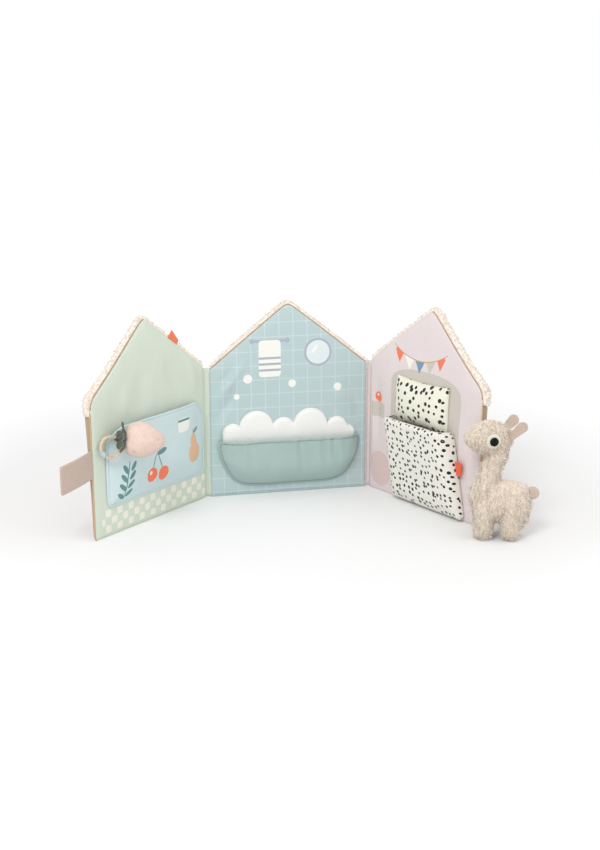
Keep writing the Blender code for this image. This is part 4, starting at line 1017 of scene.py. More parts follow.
def stitch_tree():
    """Beads of thread along a curve."""
    tree, inlet, outlet = geometry_tree("sew_stitches", [
        ("Pitch", "NodeSocketFloat", 0.0028), ("Length", "NodeSocketFloat", 0.0019),
        ("Thread", "NodeSocketFloat", 0.0004), ("Finish", "NodeSocketMaterial", None)])
    given = inlet.outputs
    walk = add_node(tree, "GeometryNodeCurveToPoints", {"Curve": given["Geometry"], "Length": given["Pitch"]},
                    mode="LENGTH")
    bead = add_node(tree, "GeometryNodeMeshUVSphere", {"Segments": 6, "Rings": 4, "Radius": 0.5})
    size = add_node(tree, "ShaderNodeCombineXYZ", {0: given["Thread"], 1: given["Thread"], 2: given["Length"]})
    put = add_node(tree, "GeometryNodeInstanceOnPoints", {
        "Points": walk.outputs["Points"], "Rotation": walk.outputs["Rotation"], "Instance": bead.outputs["Mesh"],
        "Scale": size.outputs[0]})
    finish_tree(tree, put, given, outlet)
    return tree


SEWING = stitch_tree()


def line_object(name, lines, side):
    """A curve object with one open spline for each line of points, in its place."""
    curve = bpy.data.curves.new(name, "CURVE")
    curve.dimensions = "3D"
    for points in lines:
        spline = curve.splines.new("POLY")
        spline.points.add(len(points) - 1)
        for spot, place in zip(spline.points, points):
            spot.co = (*(PLACED[side] @ Vector(place)), 1.0)
    return in_scene(name, curve)


def sewn(name, lines, side, material, pitch=0.0028, length=0.0019, thread=0.0004):
    """Stitches along lines of the flat layout, as one plain mesh."""
    drawn = line_object(name + "_line", lines, side)
    modifier = drawn.modifiers.new("stitches", "NODES")
    modifier.node_group = SEWING
    for label, value in (("Pitch", pitch), ("Length", length), ("Thread", thread), ("Finish", material)):
        modifier[node_input(modifier, label)] = value
    made = plain_from(drawn, name)
    made.data.shade_smooth()
    print(name, len(made.data.polygons), "faces")
    return made


def inset_line(points, inset, closed=False):
    """The flat (x, z) points moved sideways to their left by an inset."""
    moved = []
    count = len(points)
    for i, (x, z) in enumerate(points):
        before = points[i - 1] if i or closed else points[i]
        after = points[(i + 1) % count] if i < count - 1 or closed else points[i]
        along = Vector((after[0] - before[0], after[1] - before[1])).normalized()
        moved.append((x - along.y * inset, z + along.x * inset))
    return moved


def thread_material(name, colour):
    """Twisted sewing thread, with painted shade where its twist sinks in."""
    made, tree, shader = paint(name, 0.6, 0.2)
    twist = own_noise(tree, 3000.0)
    low = tuple(c * 0.82 for c in colour)
    # Painted shade: the colour goes darker where the twist's bump sinks.
    tree.links.new(blend_colour(tree, twist, low, colour), shader.inputs["Base Color"])
    add_bump(tree, shader, twist, 0.0001)
    return made


BLUE_THREAD = thread_material("blue_thread", linear(150, 184, 192))
TEAL_THREAD = thread_material("teal_thread", linear(74, 106, 106))
TAN_THREAD = thread_material("tan_thread", linear(196, 160, 128))
WHITE_THREAD = thread_material("white_thread", linear(226, 226, 216))

# %% [markdown]
# ## Patch pockets
# A patch pocket is a cloth front sewn to the page at its sides and foot. Something can go in, so it stands
# off the page at its open top. The cloth dips along its topstitching, a few millimetres inside the seam.


# %% The food pocket
POCKET_CLOTH = 0.0022
FOOD_LOW_X, FOOD_HIGH_X = -0.300 + 0.018, PAGES["left"]["high"] - 0.005
FOOD_FOOT, FOOD_TOP = 0.035, 0.130


def seat_of(side, x, z):
    """The depth of the page that a pocket or cushion is sewn to."""
    return front_face(PAGES[side], x, z) - 0.0003


def groove(distance, at, width=0.0009, depth=0.0005):
    """How deep a line of stitches pulls the cloth in."""
    return depth * math.exp(-((distance - at) / width) ** 2)


def food_low(x):
    return FOOD_FOOT + corner_drop(min(x - FOOD_LOW_X, FOOD_HIGH_X - x), 0.008)


def food_high(x):
    return FOOD_TOP - corner_drop(min(x - FOOD_LOW_X, FOOD_HIGH_X - x), 0.028)


def food_depth(x, z):
    """How far the food pocket's cloth stands off the page."""
    sewn_in = min(x - FOOD_LOW_X, FOOD_HIGH_X - x, z - food_low(x))
    rim = food_high(x) - z
    near_fold = full(FOOD_HIGH_X - x, 0.070)
    sewn_down = groove(min(sewn_in, rim), 0.0026, 0.0010, 0.0007)
    depth = 0.0012 + 0.0093 * full(sewn_in, 0.033) * near_fold - sewn_down
    wave = 0.0009 * ripple(x, z, 0.030, 41.0) + 0.0004 * ripple(x, z, 0.011, 44.0)
    return depth + wave * full(sewn_in, 0.012) + 0.0010 * full(sewn_in, 0.02) * math.exp(-rim / 0.010)


def sewn_form(name, side, columns, low, high, depth, pitch, material,
              wall=POCKET_CLOTH, rim=0.0006, rim_steps=4, ease=0.55):
    """A cloth form that is sewn to the page: hollow behind its wall, or full where no wall is given."""
    def front(x, z):
        return seat_of(side, x, z) - depth(x, z)

    def back(x, z):
        seat = seat_of(side, x, z)
        return min(front(x, z) + wall, seat) if wall else seat

    bm = grid_shell(columns, lambda x: between(low(x), high(x), pitch, ease), front, back,
                    lambda x, z: rim, rim_steps)
    piece = finish_mesh(name, bm, material, side)
    print(name, box_mm(piece), "mm,", len(piece.data.polygons), "faces")
    return piece


FOOD_POCKET = sewn_form("food_pocket_cloth", "left", steps(FOOD_LOW_X, FOOD_HIGH_X, 0.0019), food_low,
                        food_high, food_depth, 0.021, POCKET_BLUE)


def on_cloth(side, depth, points, proud=0.00012):
    """Flat (x, z) points lifted on to a cloth that stands off the page by a depth."""
    return [(x, seat_of(side, x, z) - depth(x, z) - proud, z) for x, z in points]


def outline(low, high, first, last, count):
    """Open line down the left side, along the foot and up the right side of a pocket."""
    xs = [first + (last - first) * (0.5 - 0.5 * math.cos(math.pi * i / count)) for i in range(count + 1)]
    left = [(first, high(first) + (low(first) - high(first)) * i / 12) for i in range(12)]
    right = [(last, low(last) + (high(last) - low(last)) * (i + 1) / 12) for i in range(12)]
    return left + [(x, low(x)) for x in xs] + right


FOOD_SEAM = inset_line(outline(food_low, food_high, FOOD_LOW_X, FOOD_HIGH_X, 60), 0.0026)
FOOD_RIM_X = [FOOD_HIGH_X - (FOOD_HIGH_X - FOOD_LOW_X) * (0.5 - 0.5 * math.cos(math.pi * i / 70)) for i in range(71)]
FOOD_RIM = inset_line([(x, food_high(x)) for x in FOOD_RIM_X], 0.0026)
FOOD_STITCHES = sewn("food_pocket_stitches",
                     [on_cloth("left", food_depth, FOOD_SEAM), on_cloth("left", food_depth, FOOD_RIM[2:-2])],
                     "left", BLUE_THREAD, pitch=0.0026, length=0.0018)

# %% [markdown]
# The tub is a jersey pocket. Its rim is gathered on the topstitching, which throws soft upright folds into
# the cloth, strongest below the rim and gone at the foot.


# %% The tub pocket
TUB_HALF = 0.091


def tub_low(x):
    return 0.012 + 0.050 * (abs(x) / TUB_HALF) ** 7


def tub_high(x):
    return 0.074 - corner_drop(TUB_HALF - abs(x), 0.008)


TUB_FOLDS = [(-0.060, 0.0026, 0.0042), (-0.046, 0.0012, 0.0030), (-0.021, 0.0014, 0.0036),
             (0.003, 0.0030, 0.0040), (0.014, 0.0016, 0.0028), (0.034, 0.0024, 0.0034),
             (0.047, 0.0014, 0.0026), (0.062, 0.0020, 0.0034)]


def tub_depth(x, z):
    """How far the tub's jersey stands off the page."""
    sewn_in = min(TUB_HALF - abs(x), (z - tub_low(x)) * 0.9)
    inside = min((TUB_HALF - abs(x)) / 0.022, (z - tub_low(x)) / 0.030)
    part = full(inside, 1.0)
    rim = tub_high(x) - z
    gathered = math.exp(-(rim / 0.030) ** 1.5)
    folds = sum(height * math.exp(-((x - at - 0.12 * rim) / width) ** 2) for at, height, width in TUB_FOLDS)
    fine = 0.0008 * noise.noise(Vector((x / 0.0040, z / 0.030, 51.0))) * math.exp(-rim / 0.016)
    soft = 0.0014 * ripple(x, z, 0.028, 52.0) + 0.0007 * ripple(x, z * 0.5, 0.011, 53.0)
    depth = 0.0012 + 0.0150 * part - groove(min(sewn_in, rim), 0.0028, 0.0010, 0.0007)
    return depth + (folds * gathered + fine + soft) * full(sewn_in, 0.010) * full(rim + 0.002, 0.006)


TUB_POCKET = sewn_form("tub_pocket_cloth", "centre", steps(-TUB_HALF, TUB_HALF, 0.0016), tub_low, tub_high,
                       tub_depth, 0.030, TUB_TEAL)
TUB_SEAM = inset_line(outline(tub_low, tub_high, -TUB_HALF, TUB_HALF, 70), 0.0028)
TUB_RIM_X = [TUB_HALF * math.cos(math.pi * i / 80) for i in range(81)]
TUB_RIM = inset_line([(x, tub_high(x)) for x in TUB_RIM_X], 0.0028)
TUB_LINES = [on_cloth("centre", tub_depth, line, 0.0005) for line in (TUB_SEAM, TUB_RIM[4:-4])]
TUB_STITCHES = sewn("tub_pocket_stitches", TUB_LINES, "centre", TEAL_THREAD, pitch=0.0034, length=0.0021,
                    thread=0.0009)

# %% [markdown]
# ## The foam cloud
# The foam is one scalloped pad of velour behind the tub's rim. Each scallop is a round lobe, so the pad's
# thickness is measured from the cloud's outer edge, and it comes out flat with a round, soft border.


# %% Foam
VELOUR = pile_material("white_velour", linear(243, 243, 240), linear(234, 234, 231), sheen=0.2, scale=900.0)
FOAM_LOBES = [(-0.0714, 0.0810, 0.0130), (-0.0420, 0.0875, 0.0215), (-0.0075, 0.0850, 0.0140),
              (0.0270, 0.0875, 0.0215), (0.0610, 0.0830, 0.0135), (0.0740, 0.0750, 0.0104)]
FOAM_FOOT = 0.0505
FOAM_SIDES = (FOAM_LOBES[0][0] - FOAM_LOBES[0][2], FOAM_LOBES[-1][0] + FOAM_LOBES[-1][2])


def foam_high(x):
    tops = [cz + math.sqrt(max(r * r - (x - cx) ** 2, 0.0)) for cx, cz, r in FOAM_LOBES if abs(x - cx) < r]
    return max(tops) if tops else FOAM_LOBES[-1][1]


def foam_inside(x, z):
    """Distance inside the cloud's outline."""
    return min(0.8 * (foam_high(x) - z), x - FOAM_SIDES[0], FOAM_SIDES[1] - x)


def foam_thickness(x, z):
    inside = min(max(foam_inside(x, z), 0.0), z - FOAM_FOOT)
    soft = 0.0012 + 0.0042 * rounded(inside, 0.0032)
    return soft + 0.0009 * full(inside, 0.014) + 0.0005 * ripple(x, z, 0.020, 61.0) * full(inside, 0.006)


FOAM = sewn_form("foam_cloud", "centre", steps(FOAM_SIDES[0] + 0.0002, FOAM_SIDES[1] - 0.0002, 0.0016, 0.1),
                 lambda x: FOAM_FOOT, foam_high, foam_thickness, 0.035, VELOUR, None, 0.0005, 3, 0.4)

# %% [markdown]
# ## Pillow and duvet
# The pillow is a small closed cushion sewn flat to the page, full in the middle with four pinched corners.
# The duvet is a quilted pocket: two cloths with wadding between, thick at its edges, so its sides are a
# rounded wall and its hemmed top gapes for the llama.


# %% Pillow
PILLOW_LEFT, PILLOW_RIGHT = 0.158, 0.248
PILLOW_LOW, PILLOW_TOP = 0.100, 0.158


def pillow_along(x):
    return min(max((x - PILLOW_LEFT) / (PILLOW_RIGHT - PILLOW_LEFT), 0.0), 1.0)


def pillow_low(x):
    return PILLOW_LOW + 0.0030 * math.sin(math.pi * pillow_along(x))


def pillow_high(x):
    return PILLOW_TOP - 0.0030 * math.sin(math.pi * pillow_along(x))


def pillow_thickness(x, z):
    """Crowned, thin at the seam, with short wrinkles that run in from the corners."""
    across = min(x - PILLOW_LEFT, PILLOW_RIGHT - x)
    up = min(z - pillow_low(x), pillow_high(x) - z)
    crown = (full(across, 0.030) * full(up, 0.024)) ** 0.62
    inside = max(min(across, up), 0.0)
    diagonal = across - up
    pinch = 0.0007 * math.sin(diagonal / 0.0022) * math.exp(-math.hypot(across, up) / 0.013)
    along = x if up < across else z
    seam_wave = 0.0005 * noise.noise(Vector((along / 0.006, 0.0, 71.0))) * math.exp(-inside / 0.009)
    soft = 0.0006 * ripple(x, z, 0.020, 72.0)
    return 0.0018 + 0.0102 * crown + (pinch + seam_wave + soft) * full(inside, 0.006)


PILLOW = sewn_form("pillow_pad", "right", steps(PILLOW_LEFT, PILLOW_RIGHT, 0.0016), pillow_low, pillow_high,
                   pillow_thickness, 0.027, DOTTED_LARGE, None, 0.0004, 2)

# %% [markdown]
# The duvet is drawn straight first and then narrowed towards its open top, because its sides lean in on the
# page. Each point moves along the page, and its depth follows the page's own crown.

# %% Duvet
DUVET_LEFT, DUVET_RIGHT = 0.151, 0.275
DUVET_FOOT, DUVET_TOP = 0.003, 0.107
DUVET_WALL = 0.0058
DUVET_TAPER = 0.13
DUVET_LEAN = 0.006


def duvet_inset(x):
    return corner_drop(min(x - DUVET_LEFT, DUVET_RIGHT - x), 0.009)


def duvet_low(x):
    return DUVET_FOOT + duvet_inset(x)


def duvet_high(x):
    return DUVET_TOP - duvet_inset(x)


def duvet_depth(x, z):
    """How far the duvet's front stands off the page: more towards its open top."""
    rise = min(max((z - DUVET_FOOT) / (DUVET_TOP - DUVET_FOOT), 0.0), 1.0)
    whole = 0.0110 + 0.0140 * rise
    inside = min(x - DUVET_LEFT, DUVET_RIGHT - x, z - DUVET_FOOT)
    edge = 0.55 * whole
    depth = edge + (whole - edge) * full(inside, 0.018)
    rim = min(inside, duvet_high(x) - z)
    turned = 0.0022 * (1.0 - rounded(rim, 0.0040))
    wrinkle = 0.0005 * noise.noise(Vector(((z if inside < 0.02 else x) / 0.008, inside / 0.03, 81.0)))
    soft = 0.0009 * ripple(x, z, 0.030, 82.0) + 0.0004 * ripple(x, z, 0.012, 83.0)
    hem = groove(duvet_high(x) - z, 0.0070, 0.0010, 0.0006)
    return depth - turned - hem + (soft + wrinkle * math.exp(-max(rim, 0.0) / 0.015)) * full(rim, 0.006)


def duvet_drawn(x, z):
    """The duvet narrows to its open top and stands a little further out at its foot."""
    rise = min(max((z - DUVET_FOOT) / (DUVET_TOP - DUVET_FOOT), 0.0), 1.0)
    return DUVET_LEFT + (x - DUVET_LEFT) * (1.0 - DUVET_TAPER * rise) + DUVET_LEAN * (1.0 - rise)


def duvet_pad():
    """The duvet: a thick wall that closes to the page at its sides and foot, and is open at the top."""
    columns = steps(DUVET_LEFT, DUVET_RIGHT, 0.0019)

    def rows_of(x):
        return between(duvet_low(x), duvet_high(x), 0.019)
    def front(x, z):
        return seat_of("right", x, z) - duvet_depth(x, z)

    def back(x, z):
        inside = min(x - DUVET_LEFT, DUVET_RIGHT - x, z - DUVET_FOOT)
        share = min(max((inside - 0.0045) / 0.0030, 0.0), 1.0)
        seat = seat_of("right", x, z)
        return seat + (min(front(x, z) + DUVET_WALL, seat) - seat) * share

    bm = grid_shell(columns, rows_of, front, back, lambda x, z: 0.0010, 6)
    for vert in bm.verts:
        x, y, z = vert.co
        moved = duvet_drawn(x, z)
        vert.co = (moved, y + seat_of("right", moved, z) - seat_of("right", x, z), z)
    piece = finish_mesh("duvet_pad", bm, DOTTED_SMALL, "right")
    print("duvet", box_mm(piece), "mm")
    return piece


DUVET = duvet_pad()
DUVET_HEM = []
for i in range(61):
    x = DUVET_LEFT + 0.004 + (DUVET_RIGHT - DUVET_LEFT - 0.008) * i / 60
    DUVET_HEM.append((x, duvet_high(x) - 0.0070))


def hem_point(x, z):
    """A point of the hem on the drawn duvet."""
    moved = duvet_drawn(x, z)
    return Vector((moved, seat_of("right", moved, z) - duvet_depth(x, z) - 0.0002, z))


DUVET_STITCHES = sewn("duvet_hem_stitches", [[hem_point(x, z) for x, z in DUVET_HEM]], "right", WHITE_THREAD)

hand_over(FOOD_POCKET, "left_page", "food_pocket", fill=0.3)
hand_over(FOOD_STITCHES, "left_page", slot="pocket_cotton")
hand_over(TUB_POCKET, "centre_page", "tub_pocket", fill=0.3)
hand_over(TUB_STITCHES, "centre_page", slot="tub_jersey")
hand_over(FOAM, "centre_page", "foam_pad", fill=0.7)
hand_over(PILLOW, "right_page", "pillow", fill=0.7)
hand_over(DUVET, "right_page", "duvet_pocket", fill=0.6)
hand_over(DUVET_STITCHES, "right_page", slot="dotted_cotton")

# %% [markdown]
# ## Fold cloths
# At each fold the pages are joined by a narrow strip of cloth in the seam, which bends when the book is
# opened. It crosses the joint: its first points lie on the turned page and the rest on the middle page.


# %% Fold strips
FOLD_CLOTH = 0.0007
FOLD_DIP = 0.0034
FOLD_TOP = 0.1655


def fold_strip(name, profile, material):
    """A strip of cloth along an upright fold: profile holds its (x, y) points in place, top and thickness."""
    heights = [0.0008 + (FOLD_TOP - 0.0008) * i / 60 for i in range(61)]
    bm = bmesh.new()
    uv = bm.loops.layers.uv.new("cloth")
    layers = []
    count = len(profile)
    for offset in (0.0, FOLD_CLOTH):
        grid = []
        for i, (x, y) in enumerate(profile):
            before, after = profile[max(i - 1, 0)], profile[min(i + 1, count - 1)]
            along = Vector((after[0] - before[0], after[1] - before[1])).normalized()
            column = []
            for z in heights:
                wave = 0.00025 * noise.noise(Vector((i * 0.3, z / 0.009, 91.0)))
                column.append(bm.verts.new((x - along.y * (offset + wave), y + along.x * (offset + wave), z)))
            grid.append(column)
        layers.append(grid)
    front, back = layers
    last, top = count - 1, len(heights) - 1
    for i in range(last):
        for j in range(top):
            bm.faces.new((front[i][j], front[i + 1][j], front[i + 1][j + 1], front[i][j + 1]))
            bm.faces.new((back[i][j], back[i][j + 1], back[i + 1][j + 1], back[i + 1][j]))
        for j in (0, top):
            bm.faces.new((front[i][j], back[i][j], back[i + 1][j], front[i + 1][j]))
    for i in (0, last):
        for j in range(top):
            bm.faces.new((front[i][j], front[i][j + 1], back[i][j + 1], back[i][j]))
    for face in bm.faces:
        for corner in face.loops:
            corner[uv].uv = (corner.vert.co.x + corner.vert.co.y, corner.vert.co.z)
    bmesh.ops.recalc_face_normals(bm, faces=bm.faces[:])
    return finish_mesh(name, bm, material)


def bent_profile(side, outer, edge, middle, page_edge, inner):
    """Points across a fold: the first two lie on the turned page, the rest on the middle page."""
    turned = [(PLACED[side] @ Vector((x, y, 0.0))).xy for x, y in (outer, edge)]
    points = [tuple(p) for p in turned] + [middle, page_edge, inner]
    smooth = []
    for a, b in zip(points, points[1:]):
        smooth += [(a[0] + (b[0] - a[0]) * k / 4, a[1] + (b[1] - a[1]) * k / 4) for k in range(4)]
    last = len(smooth) - 1
    smooth = [(x, y + FOLD_DIP * math.sin(math.pi * k / last) ** 4) for k, (x, y) in enumerate(smooth)]
    smooth.append(points[-1])
    return smooth


LEFT_FOLD_STRIP = fold_strip("left_fold_cloth", bent_profile(
    "left", (-0.1085, 0.0011), (-0.1064, 0.0007),
    (-0.1050, 0.0005), (-0.1002, 0.0009), (-0.0975, 0.0012)), GREEN)
RIGHT_FOLD_STRIP = fold_strip("right_fold_cloth", list(reversed(bent_profile(
    "right", (0.1070, 0.0011), (0.1049, 0.0007),
    (0.1038, 0.0005), (0.1002, 0.0009), (0.0975, 0.0012)))), LILAC)
for strip, side, axis, inwards, width in ((LEFT_FOLD_STRIP, "left", LEFT_AXIS, 1.0, 0.0150),
                                          (RIGHT_FOLD_STRIP, "right", RIGHT_AXIS, -1.0, 0.0135)):
    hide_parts(side + "_fold_spine")
    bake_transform(strip)
print("fold strips:", box_mm(LEFT_FOLD_STRIP), box_mm(RIGHT_FOLD_STRIP))

# %% [markdown]
# ## Edges
# The outer walls end in a thin tan cord of piping, and a brown seam line lies under the plush. Both are
# round cords drawn along the page's outline. The folds and the middle page's foot are topstitched.


# %% Piping and edge stitches


def cord_along(name, lines, radius, material, side):
    """A round cord along lines of the flat layout, as one plain mesh."""
    drawn = line_object(name + "_line", lines, side)
    drawn.data.bevel_depth = radius
    drawn.data.bevel_resolution = 2
    drawn.data.use_fill_caps = True
    drawn.data.materials.append(material)
    made = plain_from(drawn, name)
    bm = bmesh.new()
    bm.from_mesh(made.data)
    bmesh.ops.remove_doubles(bm, verts=bm.verts[:], dist=1e-6)
    bmesh.ops.recalc_face_normals(bm, faces=bm.faces[:])
    bm.to_mesh(made.data)
    bm.free()
    made.data.shade_smooth()
    return made


def rope_material(name, colour):
    """Cloth-covered cord: a fine slanting weave worked out from its place, with painted shade in its hollows."""
    made, tree, shader = paint(name, 0.8, 0.1)
    wave = add_node(tree, "ShaderNodeTexWave", {"Vector": own_place(tree), "Scale": 375.0, "Distortion": 1.5})
    low = tuple(c * 0.80 for c in colour)
    # Painted shade: the weave's hollows, where the bump sinks, are darker.
    tree.links.new(blend_colour(tree, wave.outputs["Fac"], low, colour), shader.inputs["Base Color"])
    add_bump(tree, shader, wave.outputs["Fac"], 0.0001)
    return made


CORD_TAN = rope_material("piping_cord", linear(214, 180, 146))
SEAM_BROWN = rope_material("seam_cord", linear(190, 152, 118))


def wall_piping(side):
    """The tan cord up the open wall edge and the brown line along the roof above it."""
    page = PAGES[side]
    out = -1.0 if page["open_low"] else 1.0
    edge = page["low"] if page["open_low"] else page["high"]
    wall = [(edge + out * (0.0006 - corner_drop(z, 0.004) * 0.6), 0.0012, z) for z in
            [0.0012 + (0.1500 - 0.0012) * i / 50 for i in range(51)]]
    roof = []
    for i in range(61):
        x = edge + (page["ridge"] - edge) * i / 60
        z = page_top(page, x) + 0.0005
        roof.append((x, lean(page, x, z) + 0.0010, z))
    tan = cord_along(side + "_wall_piping", [wall], 0.00085, CORD_TAN, side)
    brown = cord_along(side + "_roof_seam", [roof], 0.00055, SEAM_BROWN, side)
    return tan, brown


def on_page(side, points, proud=0.00012):
    """Flat (x, z) points lifted on to a page's printed cotton."""
    return [(x, cotton_front(side, x, z) - proud, z) for x, z in points]


for side in ("left", "right"):
    for piece in wall_piping(side):
        hand_over(piece, PAGE_BODY[side], slot="brown_cloth")
ROOF_LINE_CENTRE = []
for i in range(101):
    x = -0.0985 + 0.197 * i / 100
    z = page_top(PAGES["centre"], x) + 0.0004
    ROOF_LINE_CENTRE.append((x, lean(PAGES["centre"], x, z) + 0.0010, z))
hand_over(cord_along("centre_roof_seam", [ROOF_LINE_CENTRE], 0.00050, SEAM_BROWN, "centre"), "centre_page",
          slot="brown_cloth")
UPRIGHTS = [0.003 + 0.155 * i / 60 for i in range(61)]
hand_over(sewn("centre_edge_stitches", [
    on_page("centre", [(-0.094 + 0.188 * i / 60, 0.0034) for i in range(61)]),
    on_page("centre", [(-0.0988, z) for z in UPRIGHTS])], "centre", TEAL_THREAD, pitch=0.0030), "centre_page",
    slot="blue_cotton")
hand_over(sewn("right_fold_stitches", [on_page("right", [(0.1060, z) for z in UPRIGHTS], 0.0003)], "right",
               TAN_THREAD, pitch=0.0027, length=0.0021, thread=0.0007), "right_page", slot="lilac_cotton")
hand_over(sewn("left_edge_stitches", [
    on_page("left", [(-0.294 + 0.184 * i / 60, 0.0032) for i in range(61)])], "left",
    thread_material("green_thread", linear(190, 204, 182)), pitch=0.0030), "left_page", slot="sage_cotton")

# %% [markdown]
# ## Tapes, label and strap
# The label and the duvet's tab are folded woven tape, sewn in by their open end. The strap is a flat tube of
# velour with hook tape on its back, and the last page's back has the soft half of the fastener.


# %% Folded tape


def tape_material(name, colour):
    """Ribbed woven tape, with painted shade in the hollows between its ribs."""
    made, tree, shader = paint(name, 0.55, 0.25)
    rib = calc(tree, "SINE", calc(tree, "MULTIPLY", uv_parts(tree)[2], 2 * math.pi / 0.0007))
    low = tuple(c * 0.86 for c in colour)
    share = calc(tree, "MULTIPLY_ADD", rib, 0.5, 0.5)
    # Painted shade: the colour darkens in the troughs of the ribs, where the bump sinks.
    tree.links.new(blend_colour(tree, share, low, colour), shader.inputs["Base Color"])
    add_bump(tree, shader, rib, 0.00008)
    return made


def folded_tape(length, reach_of, thickness, matrix):
    """Tape doubled over: open at the seam (v = 0), rounded at its fold (v = reach)."""
    def half(u, v):
        reach = reach_of(u)
        return 0.5 * thickness * (0.75 + 0.25 * math.sin(math.pi * v / reach)) * rounded(reach - v, 0.0009)

    bm = grid_shell(steps(-length / 2, length / 2, 0.0013), lambda u: between(0.0, reach_of(u), 0.07),
                    lambda u, v: -half(u, v) - 0.00005, lambda u, v: half(u, v) + 0.00005, lambda u, v: 0.0, 1)
    bmesh.ops.transform(bm, matrix=matrix, verts=bm.verts[:])
    return bm


ORANGE = tape_material("orange_tape", linear(255, 128, 74))
RED_ORANGE = tape_material("tab_tape", linear(252, 92, 48))


def roof_label_tape():
    """The bare label in the left roof's seam."""
    page = PAGES["left"]
    x = page["ridge"] + 0.043
    z = roof_line(page, x) - 0.0006
    slope = math.atan(ROOF_SLOPE)
    place = Matrix.Translation((x, lean(page, x, z) + 0.0009, z)) @ Matrix.Rotation(slope, 4, "Y")
    bm = folded_tape(0.0175, lambda u: 0.0090 - 0.23 * u, 0.0013, place)
    return finish_mesh("roof_label_tape", bm, ORANGE, "left")


def duvet_tab_tape():
    """The tab in the duvet's outer side."""
    z = 0.066
    depth = seat_of("right", DUVET_RIGHT, z) - 0.5 * duvet_depth(DUVET_RIGHT - 0.0001, z)
    edge = duvet_drawn(DUVET_RIGHT, z) - 0.0012
    place = Matrix.Translation((edge, depth, z)) @ Matrix.Rotation(math.pi / 2, 4, "Y")
    bm = folded_tape(0.0158, lambda u: 0.0108, 0.0020, place)
    return finish_mesh("duvet_tab_tape", bm, RED_ORANGE, "right")


hand_over(roof_label_tape(), "left_page", "roof_label")
hand_over(duvet_tab_tape(), "right_page", "duvet_tab")

# %% [markdown]
# The strap hangs a little below level and waves gently. Hooks and loops are seeded tufts like the plush, only
# shorter, planted on the outer side of each tape.

# %% Strap and its fastener
STRAP_ROOT = Vector((-0.3016, COVER_DEPTH, 0.091))
PLACED["strap"] = PLACED["left"] @ turned_about(STRAP_ROOT, math.radians(6))
STRAP_VELOUR = pile_material("strap_velour", linear(200, 180, 167), linear(184, 162, 148), sheen=0.35,
                             scale=1100.0)
STRAP_LENGTH, STRAP_HALF = 0.053, 0.0165


def strap_middle(x):
    return STRAP_ROOT.z - 0.09 * max(STRAP_ROOT.x - x, 0.0)


def strap_cloth():
    """The velour strap: a flat tube with turned edges and a square end."""
    end = STRAP_ROOT.x - STRAP_LENGTH
    columns = steps(end, -0.3002, 0.0016)

    def rows_of(x):
        half = STRAP_HALF - corner_drop(x - end, 0.0035)
        return [strap_middle(x) - half + 2 * half * share for share in steps(0.0, 1.0, 0.05)]

    def half(x, z):
        inside = min(x - end, STRAP_HALF - abs(z - strap_middle(x)))
        body = 0.0005 + 0.0011 * rounded(inside, 0.0022) - groove(inside, 0.0030, 0.0008, 0.0003)
        return body + 0.0003 * ripple(x, z, 0.012, 101.0) * full(inside, 0.004)

    def sway(x):
        wave = 0.0012 * math.sin((STRAP_ROOT.x - x) / STRAP_LENGTH * math.pi)
        return wave + 0.0004 * ripple(x, 0.0, 0.02, 102.0)

    bm = grid_shell(columns, rows_of, lambda x, z: STRAP_ROOT.y - half(x, z) - sway(x),
                    lambda x, z: STRAP_ROOT.y + half(x, z) - sway(x), lambda x, z: 0.0003, 2)
    return finish_mesh("strap_velour", bm, STRAP_VELOUR, "strap")


def fastener(name, low, high, depth_of, side, thickness=0.0008):
    """A plain strip of fastener tape between two (x, z) corners."""
    heights = [low[1] + (high[1] - low[1]) * k / 12 for k in range(13)]
    bm = grid_shell(steps(low[0], high[0], 0.0022), lambda x: heights, depth_of,
                    lambda x, z: depth_of(x, z) + thickness, lambda x, z: 0.0, 1)
    return finish_mesh(name, bm, FASTENER, side)


def outer_side(piece, side):
    """The back faces of a tape, as ground for its hooks or loops."""
    backwards = PLACED[side].to_3x3() @ Vector((0, 1, 0))
    return copy_of(piece, lambda f: f.normal.dot(backwards) > 0.8)


FASTENER = pile_material("fastener_tape", linear(200, 188, 176), linear(172, 158, 146), sheen=0.1, scale=1600.0)
HOOK = tuft_mesh("hook", 3, 0.9, 0.16)
FUZZ = tuft_mesh("fuzz", 3, 0.6, 0.12)
STRAP = strap_cloth()
HOOK_TAPE = fastener("strap_hooks_base", (-0.3506, 0.0747), (-0.3286, 0.0997),
                     lambda x, z: COVER_DEPTH + 0.0015, "strap")
HOOKS = planted("strap_hooks", outer_side(HOOK_TAPE, "strap"), HOOK, FASTENER, 0.0011, 0.0010, comb=(0, 0, 1),
                lean_by=0.1, seed=5)
LOOP_BASE = fastener("strap_loops_base", (0.130, 0.078), (0.170, 0.104),
                     lambda x, z: back_depth(PAGES["right"], x, z) + 0.0006, "right")
LOOPS = planted("strap_loops", outer_side(LOOP_BASE, "right"), FUZZ, FASTENER, 0.0011, 0.0010, comb=(0, 0, 1),
                lean_by=0.8, seed=6)
hand_over(STRAP, "strap", "closing_strap")
hand_over(HOOK_TAPE, "strap", "strap_hook_tape")
hand_over(HOOKS, "strap", slot="hook_tape")
hand_over(LOOP_BASE, "right_page", "strap_loop_tape")
hand_over(LOOPS, "right_page", slot="hook_tape")

# %% [markdown]
# ## Ring and strawberry
# The ring is turned beech: its grain runs in flat layers through the whole ring, so the material reads the
# piece's own coordinates. Its place and axis come from the joint that it swings on.


# %% The wooden ring
SWING = JOINTS["strawberry_swing"]
RING_MIDDLE = Vector(SWING["pos_m"])
RING_AXIS = Vector(SWING["axis"]).normalized()
RING_RADIUS, RING_TUBE = 0.0120, 0.0020
RING_PLACE = Matrix.Translation(RING_MIDDLE) @ RING_AXIS.to_track_quat("Z", "Y").to_matrix().to_4x4()


